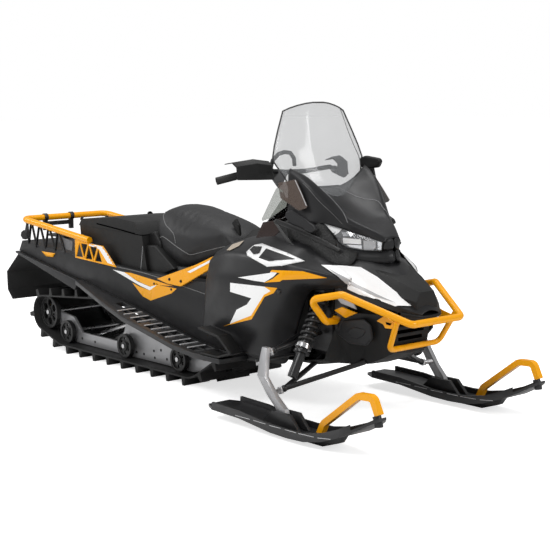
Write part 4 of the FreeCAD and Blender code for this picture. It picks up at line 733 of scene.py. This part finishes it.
# Headlamps: a dark box with bright cells behind a clear wedge.
LAMP_FACE = [(-88, 190, 843), (-31, 130, 821), (126, 50, 771), (119, 50, 731), (-20, 140, 733),
             (-33, 170, 787)]
# The cells in white paint are painted reflections of the reflector; the metal cells carry the reflector's
# real finish.
LAMP_CELLS = [
    ("lamp_tip", WHITE_PAINT_AND_HIGHLIGHT, [(-155, 832), (-41, 821), (-71, 798), (-96, 786)]),
    ("lamp_star", BRIGHT, [(-60, 810), (-20, 818), (30, 800), (5, 790), (-40, 786)]),
    ("lamp_smoke", GREY_PAINT_AND_HIGHLIGHT, [(35, 806), (185, 788), (178, 780), (60, 790)]),
    ("lamp_bright_up", WHITE_PAINT_AND_HIGHLIGHT, [(-44, 781), (66, 782), (68, 762), (-42, 757)]),
    ("lamp_bright_low", BRIGHT, [(-42, 752), (70, 758), (72, 738), (-41, 732)]),
    ("lamp_dark", GREY_PAINT_AND_HIGHLIGHT, [(80, 779), (152, 782), (154, 742), (82, 739)]),
    ("lamp_end", BRIGHT, [(162, 781), (186, 780), (183, 744), (164, 743)]),
]


def lamp_sheet(name, back, slot, material=None):
    """Faces that fan out over the lamp's opening, set back into it, on the right and on the left."""
    pieces = []
    for side, suffix in RIGHT_FIRST:
        points = [at(x - 0.8 * back, side * (y - 0.6 * back), z) for x, y, z in LAMP_FACE]
        middle = sum(points, Vector()) / len(points)
        count = len(points)
        mesh = bpy.data.meshes.new(name)
        mesh.from_pydata([tuple(place) for place in points + [middle]], [],
                         [(k, (k + 1) % count, count) for k in range(count)])
        if side > 0:
            mesh.flip_normals()
        pieces.append(add_piece(name + "_" + suffix, mesh, slot, material))
    return pieces


floors = lamp_sheet("lamp_floor", 14, "lamp_reflector", BLACK_PLASTIC)
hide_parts("lamp_housings")
lenses = lamp_sheet("lamp_cover", 0, "lamp_lens")
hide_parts("headlamps")
rim = [at(x - 2, -y, z) for x, y, z in LAMP_FACE]
tube_pair("lamp_rim", rim, 3.5, "black_plastic", cyclic=True)
tree = shell_tree(floors[0])
for name, material, outline in LAMP_CELLS:
    graphic(name, outline, -120, tree, "lamp_reflector", material, lift=3, step=10)

# Seat: a padded cushion with a raised rear edge, its cover tucked under a line of piping.
SEAT_STATIONS = [
    (-1348, 812, 784, 140, 170, 596),
    (-1312, 836, 814, 148, 180, 584),
    (-1250, 840, 822, 152, 186, 556),
    (-1168, 832, 812, 154, 186, 530),
    (-1088, 816, 792, 156, 184, 536),
    (-1030, 806, 778, 153, 178, 558),
    (-950, 792, 758, 146, 166, 584),
    (-850, 774, 738, 130, 148, 622),
    (-790, 750, 716, 114, 134, 644),
    (-742, 712, 694, 92, 112, 660),
]
SEAT_VOXEL = 8
SEAT_SWELL = 9
SEAT_FRAMES = 20


def seat_ring(x, top, shoulder, half_top, half_low, floor):
    """One cross section of the cushion, from the bottom right over the top to the bottom left."""
    middle = floor + 0.45 * (shoulder - floor)
    right = [(-half_low * 0.55, floor), (-half_low + 6, floor), (-half_low + 3, middle),
             (-half_top - 4, shoulder - 12), (-half_top * 0.62, top - 7)]
    left = [(-y, z) for y, z in reversed(right)]
    return [at(x, y, z) for y, z in right + [(0, top - 2)] + left]


def bake_modifier(piece, kind, **settings):
    modifier = piece.modifiers.new(kind.lower(), kind)
    for key, value in settings.items():
        setattr(modifier, key, value)
    graph = bpy.context.evaluated_depsgraph_get()
    mesh = bpy.data.meshes.new_from_object(piece.evaluated_get(graph))
    piece.modifiers.clear()
    old = piece.data
    piece.data = mesh
    if not mesh.materials and old.materials:
        mesh.materials.append(old.materials[0])


def swell(piece):
    """Fills the cushion by a cloth simulation, with a cap on how far the cover moves."""
    rest = [vertex.co.copy() for vertex in piece.data.vertices]
    cloth = piece.modifiers.new("cloth", "CLOTH")
    cloth.settings.use_pressure = True
    cloth.settings.uniform_pressure_force = 4
    cloth.settings.effector_weights.gravity = 0
    scene = bpy.context.scene
    for number in range(1, SEAT_FRAMES + 1):
        scene.frame_set(number)
    graph = bpy.context.evaluated_depsgraph_get()
    moved = piece.evaluated_get(graph)
    goal = [vertex.co.copy() for vertex in moved.to_mesh().vertices]
    moved.to_mesh_clear()
    piece.modifiers.clear()
    scene.frame_set(1)
    for vertex, start, end in zip(piece.data.vertices, rest, goal):
        step = end - start
        reach = SEAT_SWELL * MM
        if step.length > reach:
            step = step.normalized() * reach
        vertex.co = start + step


def make_seat():
    rings = [seat_ring(*station) for station in SEAT_STATIONS]
    mesh = grid_mesh("seat_cushion", rings, closed=True)
    shape = bmesh.new()
    shape.from_mesh(mesh)
    shape.verts.ensure_lookup_table()
    wide = len(rings[0])
    shape.faces.new(shape.verts[:wide][::-1])
    shape.faces.new(shape.verts[-wide:])
    bmesh.ops.recalc_face_normals(shape, faces=shape.faces[:])
    shape.to_mesh(mesh)
    shape.free()
    seat = add_piece("seat_cushion", mesh, "seat_cover")
    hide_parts("seat")
    bake_modifier(seat, "SUBSURF", levels=2)
    bake_modifier(seat, "REMESH", mode="VOXEL", voxel_size=SEAT_VOXEL * MM)
    swell(seat)
    bake_modifier(seat, "SMOOTH", factor=0.5, iterations=4)
    shade_smooth(seat.data)
    return seat


tree = shell_tree(make_seat())
sight_line("seat_piping", [(-1286, 612), (-1280, 672), (-1262, 690), (-1235, 690), (-1140, 655),
            (-1060, 630), (-1015, 626), (-900, 654), (-800, 678), (-752, 687)], -180, tree, 2.2,
           "seat_cover", PIPING_AND_HIGHLIGHT)
sight_line("seat_bolster_piping", [(-1262, 812), (-1282, 788), (-1264, 749), (-1230, 728), (-1199, 705),
            (-1186, 664)], -150, tree, 2.0, "seat_cover", PIPING_AND_HIGHLIGHT)
prism("seat_side_box", [(-1352, 645), (-1268, 652), (-1101, 550), (-1224, 503), (-1352, 520)], -150, -224,
      9, "black_plastic")
prism("seat_back_block", [(-1352, 520), (-1352, 706), (-1300, 716), (-1250, 660), (-1230, 520)], -20, -196,
      9, "black_plastic")
prism("seat_knob", [(-816, 806), (-846, 782), (-818, 752), (-806, 722), (-784, 722), (-792, 776)], -60, -76,
      5, "black_plastic", mirror=False)

# Windshield: a tall clear sheet, curved round the rider, whose edges turn back.
SHIELD_ROWS = [
    (935, -193, -262, 205), (1020, -222, -290, 225), (1060, -236, -308, 246), (1103, -250, -325, 269),
    (1160, -268, -335, 250), (1230, -290, -346, 219), (1309, -312, -358, 181), (1322, -315, -350, 150),
    (1333, -318, -342, 112), (1342, -321, -334, 68), (1346, -323, -328, 30),
]
SHIELD_COLUMNS = 17
FLARE_SHARES = (0.97, 0.85, 0.8, 0.8, 0.86, 0.97)


def shield_point(row, share):
    """A point of the windshield: a share of -1 is its right edge, 0 its middle and 1 its left edge."""
    z, front, edge, half = row
    return at(front + (edge - front) * share * share, half * share, z)


shares = [2 * k / (SHIELD_COLUMNS - 1) - 1 for k in range(SHIELD_COLUMNS)]
rows = [[shield_point(row, share) for share in shares] for row in SHIELD_ROWS]
sheet = add_piece("windshield_sheet", grid_mesh("windshield_sheet", rows), "clear_shield")
thicken(sheet, PANEL_WALL)
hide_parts("windshield")
edge = [row[0] for row in rows] + rows[-1][1:-1] + [row[-1] for row in reversed(rows)]
tube("windshield_edge", edge, 3.4, "clear_shield", EDGE_GREY)
flare = [shield_point(row, share) for row, share in zip(SHIELD_ROWS[2:8], FLARE_SHARES)]
tube("windshield_flare", smooth_path(flare), 1.6, "clear_shield", PIPING_AND_HIGHLIGHT)

# Small fixings: a low head on a washer, each given by sides, radii, depth and rise for a radius of one.
WASHER = (12, 1.5, 1.4, 0.4, 0.2)
HEAD = (6, 1, 0.86, 0.8, 0.8)
OUTWARDS = (0, -1, 0)


def add_fixing(shape, place, normal, radius):
    """One bolt head in a mesh being built."""
    base = Matrix.Translation(place) @ normal.to_track_quat("Z", "Y").to_matrix().to_4x4()
    for sides, low, high, depth, rise in (WASHER, HEAD):
        add_cone(shape, sides, radius * low, radius * high, radius * depth,
                 base @ Matrix.Translation((0, 0, radius * rise * MM)))


def bolts(name, places, normal, radius, slot, body="chassis"):
    """Bolt heads at places (x, y, z) that face one way, and their mirror images."""
    shape = bmesh.new()
    for x, y, z in places:
        for side in (1, -1):
            outwards = Vector((normal[0], side * normal[1], normal[2]))
            add_fixing(shape, at(x, side * y, z), outwards, radius)
    add_piece(name, mesh_of(name, shape), slot, body=body)


# Hood and chin: graphics, panels, the nose's lip and one screw.
tree = shell_tree(hood_shell, side_shell)
graphic("hood_flash", [(-114, 661), (17, 670), (125, 674), (221, 643), (314, 599), (379, 569), (408, 547),
         (322, 538), (222, 554), (117, 563), (50, 577), (48, 604), (-2, 619), (-60, 640)], -180, tree,
        "black_panel", WHITE_PAINT_AND_HIGHLIGHT, lift=4, step=8)
graphic("hood_streak", [(-67, 648), (29, 622), (220, 572), (322, 549), (206, 563), (36, 602)], -180, tree,
        "black_panel", GREY_PAINT_AND_HIGHLIGHT, lift=5.5, step=8)
prism("chin_blade", [(-8, 539), (83, 538), (113, 500), (21, 515)], -186, -194, 2, "black_panel", GREY_PAINT_AND_HIGHLIGHT)
prism("chin_blade_edge", [(-12, 541), (30, 541), (70, 508), (113, 500), (21, 514)], -184, -190, 2,
      "black_panel", WHITE_PAINT_AND_HIGHLIGHT)
prism("chin_patch", [(-19, 481), (25, 500), (115, 485), (47, 456)], -184, -194, 2, "orange_paint")
prism("chin_panel", [(-6, 437), (147, 464), (190, 442), (200, 391), (167, 355), (70, 348), (-6, 380)], -176,
      -190, 9, "black_panel")
prism("chin_oval", [(49, 395), (80, 417), (108, 427), (150, 424), (167, 414), (150, 391), (119, 376),
       (75, 380)], -184, -194, 6, "black_panel")
prism("bumper_tab", [(204, 461), (246, 486), (269, 478), (334, 463), (311, 441), (256, 437), (241, 452)],
      -162, -168, 2, "orange_paint")
# The tab's hole is a black patch of painted shadow.
prism("bumper_tab_hole", [(258, 464), (292, 462), (284, 452), (262, 454)], -167, -169, 0.5, "black_steel",
      SHADOW_BLACK)
half = smooth_path([at(288, -112, 496), at(322, -84, 487), at(344, -54, 481), at(350, 0, 478)])
lip = half + mirrored_path(half)[-2::-1]
plate = bpy.data.meshes.new("nose_floor")
plate.from_pydata([tuple(place) for place in lip], [], [tuple(range(len(lip)))])
thicken(add_piece("nose_floor", plate, "black_panel", BLACK_PLASTIC), 6, offset=0)
tube("nose_lip", lip, 8, "black_panel", BLACK_PLASTIC)
spot = seen_on(tree, at(88, -150, 706), 0)
screw = ((spot.x - SKI_BOLT_X) / MM, spot.y / MM, spot.z / MM)
bolts("hood_screw", [screw], (0.4, -0.5, 0.77), 3.5, "bare_steel")
bolts("tunnel_bolts", [(-1204, -269, 474), (-1065, -269, 461), (-1880, -269, 540), (-1760, -269, 534),
                       (-1640, -269, 527), (-2300, -269, 560)], OUTWARDS, 4, "black_steel")
bolts("brace_bolts", [(-1060, -283, 512), (-969, -283, 512)], OUTWARDS, 5, "black_steel")

# Wind deflectors: a smoked pane, a paler wing behind it and a dark brown corner below.
PANE = [(-318, 1004), (-206, 1024), (-196, 1018), (-130, 914), (-140, 906), (-183, 893), (-300, 940)]
WING = [(-334, 978), (-322, 984), (-289, 974), (-262, 930), (-266, 905), (-372, 848), (-424, 832),
        (-430, 840)]
CORNER = [(-299, 946), (-160, 902), (-300, 880), (-365, 838), (-437, 825), (-486, 752), (-400, 742),
          (-330, 790)]
PANE_EDGE = [(-206, 1022), (-166, 966), (-134, 916)]
PANE_Y = -246
PANE_FOOT = 893


def pane_place(x, z):
    """The pane leans inwards towards its top."""
    return -251 + 0.11 * max(0, z - PANE_FOOT)


pane = prism("deflector_pane", PANE, PANE_Y, -243, 1, "smoked_shield", bend=pane_place)
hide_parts("side_deflectors")
prism("deflector_wing", WING, -240, -243, 1, "smoked_shield", PALE_SHIELD)
prism("deflector_corner", CORNER, -226, -229, 1, "smoked_shield", BROWN_SHIELD)
# A grey line of painted highlight along the pane's front edge.
pane_edge = [along_sight(at(x, PANE_Y, z), pane_place(x, z) - 1) for x, z in PANE_EDGE]
tube_pair("deflector_edge", pane_edge, 1.8, "smoked_shield", GREY_PAINT_AND_HIGHLIGHT)

# Springs: heavy coils round the front shocks, with a bright collar at their foot.
SHOCK_LOW = (-70, 385, 214)
SHOCK_HIGH = (-87, 189, 542)
COILS = 7.5
COIL_RADIUS = 30
COIL_WIRE = 6.5
COIL_STEPS = int(COILS * 20)
COIL_START = 0.40
COIL_END = 0.93
COLLARS = ((0.36, 36, 16), (0.385, 33, 8), (0.94, 33, 10))
for side, suffix in LEFT_FIRST:
    low, high = (at(x, side * y, z) for x, y, z in (SHOCK_LOW, SHOCK_HIGH))
    axis = (high - low).normalized()
    across = axis.orthogonal().normalized()
    other = axis.cross(across)
    start, end = low.lerp(high, COIL_START), low.lerp(high, COIL_END)
    path = []
    for k in range(COIL_STEPS + 1):
        turn = 2 * math.pi * COILS * k / COIL_STEPS
        swing = math.cos(turn) * across + math.sin(turn) * other
        path.append(start.lerp(end, k / COIL_STEPS) + COIL_RADIUS * MM * swing)
    coil = tube("spring_coil_" + suffix, path, COIL_WIRE, "spring_steel", resolution=2)
    if side > 0:
        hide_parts("front_springs")
    shape = bmesh.new()
    tilt = axis.to_track_quat("Z", "Y").to_matrix().to_4x4()
    for share, radius, depth in COLLARS:
        place = Matrix.Translation(low.lerp(high, share)) @ tilt
        add_cone(shape, 40, radius, radius * 0.94, depth, place)
    mesh = mesh_of("spring_collar", shape)
    shade_smooth(mesh)
    mesh.set_sharp_from_angle(angle=math.radians(35))
    add_piece("spring_collar_" + suffix, mesh, "bare_steel")
dress("front_shocks", "black_steel")

# Steering head: a grey plate that carries the bar, and the thick grab loop over it.
STEER_BODY = NODES["handlebar"]["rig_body"]
RISER = [(-528, -150, 1062), (-426, -90, 1034), (-470, -84, 985), (-492, -90, 962)]
RISER_RECESS = [(-502, -139, 1046), (-468, -119, 1036), (-487, -118, 1012)]
LOOP = [(-540, -92, 1058), (-532, -88, 1088), (-522, -62, 1116), (-518, -30, 1124), (-524, 10, 1119),
        (-540, 46, 1094), (-551, 60, 1060)]


def steer_plate(name, corners, depth, material):
    """A flat plate through corners (x, y, z), thick towards the rear left."""
    near = [at(*corner) for corner in corners]
    far = [at(x - 0.7 * depth, y + 0.7 * depth, z) for x, y, z in corners]
    piece = add_piece(name, blocks(name, [(near, far)]), "black_steel", material, STEER_BODY)
    round_edges(piece, 3, angle=30)


steer_plate("riser_plate", RISER, 16, RISER_GREY)
# The recess is a black patch of painted shadow on the grey plate.
steer_plate("riser_recess", RISER_RECESS, 3, MESH_AND_SHADOW_BLACK)
loop = tube("grab_hoop", [at(*point) for point in LOOP], 9.5, "black_plastic", FINISHES["grip_rubber"],
            STEER_BODY, resolution=4)
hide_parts("grab_loop")

# Thin lines on the faces: painted shadow in the lid's gap, and painted highlights along the box's corner, the
# tunnel's edge and the cowl's ridges.
tree = shell_tree(NODES["cargo_box"], NODES["cargo_lid"])
sight_line("lid_gap", [(-1740, 726), (-1550, 712), (-1372, 698), (-1300, 704), (-1240, 712)], -240,
           tree, 3.6, "black_plastic", SHADOW_BLACK, lift=-0.8)
sight_line("box_corner", [(-1335, 643), (-1345, 582), (-1356, 522)], -240, tree, 1.2, "black_plastic",
           GREY_PAINT_AND_HIGHLIGHT, lift=0.3)
sight_line("tunnel_edge", [(-1540, 526), (-1302, 518), (-1150, 506), (-1005, 490), (-780, 466)],
           TUNNEL_Y, shell_tree(NODES["tunnel"]), 1.8, "black_panel", PIPING_AND_HIGHLIGHT, lift=0.8)
tree = shell_tree(surround_shell)
sight_line("cowl_ridge", [(-150, 1046), (-106, 1027), (-45, 988), (25, 944), (79, 900), (104, 862)], -236,
           tree, 2.2, "black_panel", PANEL_GREY_AND_HIGHLIGHT, lift=-0.6)
sight_line("cowl_crease", [(-164, 1010), (-122, 984), (-61, 939), (19, 893), (78, 854)], -240, tree,
           1.0, "black_panel", PIPING_AND_HIGHLIGHT, lift=-0.6)

# Mirror: a rounded head on a short stalk, on the left only.
MIRROR_BODY = NODES["mirror"]["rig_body"]
MIRROR_SLOT = SLOT_OF["mirror"]
MIRROR = [(-325, 1094), (-290, 1107), (-202, 1098), (-190, 1084), (-206, 1056), (-300, 1044), (-320, 1060)]
STALK = [(-280, 1050), (-240, 1056), (-222, 990), (-250, 984)]
mirror_head = prism("mirror_head", MIRROR, 248, 272, 9, MIRROR_SLOT, mirror=False, body=MIRROR_BODY)
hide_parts("mirror")
prism("mirror_stalk", STALK, 252, 266, 5, MIRROR_SLOT, mirror=False, body=MIRROR_BODY)

# Skis: a black sleeve that holds the loop's front foot, and light streaks of painted highlight along the
# side.
STREAKS = [((-222, 52), (-128, 53)), ((-104, 53), (-27, 52)), ((-4, 51), (67, 52)), ((93, 52), (159, 52)),
           ((173, 52), (263, 55)), ((284, 56), (357, 65))]
SLEEVE = [(521, 174), (531, 150), (534, 132)]
SKI_MIDDLE_Y = 483.5
RAY_START_Y = {1: 200, -1: -800}
STREAK_SINK = Vector((0, 1.4 * MM, 0))
for side, suffix in RIGHT_FIRST:
    ski = NODES["ski_" + suffix]
    sleeve = smooth_path([at(x, side * SKI_MIDDLE_Y, z) for x, z in SLEEVE])
    tube("ski_tip_sleeve_" + suffix, sleeve, 17, "ski_plastic", body=ski["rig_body"])
    tree = shell_tree(ski)
    for number, (start, end) in enumerate(STREAKS):
        streak = []
        for share in (0, 0.5, 1):
            x, z = (a + share * (b - a) for a, b in zip(start, end))
            hit = tree.ray_cast(at(x, RAY_START_Y[side], z), ACROSS)[0]
            if hit is not None:
                streak.append(hit + STREAK_SINK)
        if len(streak) > 1:
            name = "ski_streak_%s_%d" % (suffix, number)
            tube(name, streak, 1.8, "ski_plastic", RUNG_SILVER_AND_HIGHLIGHT, ski["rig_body"])

# Rear rack: the zigzag under the rail, a grey panel behind it, the lid's latch and the tail lamps.
ZIGZAG = [(-2400, 704), (-2380, 576), (-2351, 702), (-2302, 570), (-2264, 696), (-2207, 564), (-2170, 689),
          (-2106, 558), (-2078, 679), (-2015, 552)]
RACK_PANEL = [(-2102, 640), (-1945, 618), (-1954, 568), (-2039, 572)]
TAIL_LAMP = [(-2441, 642), (-2467, 630), (-2475, 608), (-2455, 590), (-2425, 589), (-2401, 602), (-2407, 630)]
TAIL_LAMP_ARM = [(-2446, 600), (-2425, 600), (-2384, 702), (-2404, 706)]
bars = tube_pair("truss_bars", [at(x, -266, z) for x, z in ZIGZAG], 7.5, SLOT_OF["rack_truss"],
                 FINISHES["black_steel"])
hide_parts("rack_truss")
prism("rack_panel", RACK_PANEL, -256, -260, 1, "bare_alloy", PANEL_GREY_AND_HIGHLIGHT)
prism("tail_lamp", TAIL_LAMP, -252, -266, 5, "black_plastic")
prism("tail_lamp_arm", TAIL_LAMP_ARM, -256, -263, 2, "black_steel")
bolts("lid_latch", [(-1908, -216, 737)], (-0.5, -0.7, 0.5), 11, "black_plastic",
      NODES["cargo_lid"]["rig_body"])

# Rails: lightening holes, shown as dark discs of painted shadow set into the plates.
RAIL_FACE = 172.3
HOLE_RADIUS = 7
RAIL_HOLES = [(-2010, 80), (-1885, 78), (-1500, 80), (-1436, 80), (-1350, 108), (-1343, 74), (-1290, 120),
              (-1240, 82)]
shape = bmesh.new()
turn = Matrix.Rotation(math.radians(90), 4, "X")
for x, z in RAIL_HOLES:
    for side in (1, -1):
        place = Matrix.Translation(at(x, side * RAIL_FACE, z)) @ turn
        add_cone(shape, 20, HOLE_RADIUS, HOLE_RADIUS, 1.2, place)
add_piece("rail_holes", mesh_of("rail_holes", shape), "bare_alloy", MESH_AND_SHADOW_BLACK)

# Running boards: bright rungs across the openings.
RUNG_COUNT = 11
RUNG_START = -1330
RUNG_GAP = 56
RUNG_ENDS = (292, 404)
RUNG_ABOVE = 600
RUNG_SIZE = Matrix.Diagonal((11 * MM, 104 * MM, 4 * MM, 1))
RUNG_LIFT = Vector((0, 0, 1.5 * MM))
tree = shell_tree(NODES["running_boards"])
shape = bmesh.new()
down = Vector((0, 0, -1))
for k in range(RUNG_COUNT):
    for side in (1, -1):
        hits = [tree.ray_cast(at(RUNG_START + RUNG_GAP * k, side * y, RUNG_ABOVE), down)[0]
                for y in RUNG_ENDS]
        if None not in hits:
            place = Matrix.Translation((hits[0] + hits[1]) / 2 + RUNG_LIFT)
            bmesh.ops.create_cube(shape, size=1, matrix=place @ RUNG_SIZE)
rungs = add_piece("board_rungs", mesh_of("board_rungs", shape), "bare_alloy", RUNG_SILVER_AND_HIGHLIGHT)
round_edges(rungs, 1, angle=30, segments=2, harden=False)
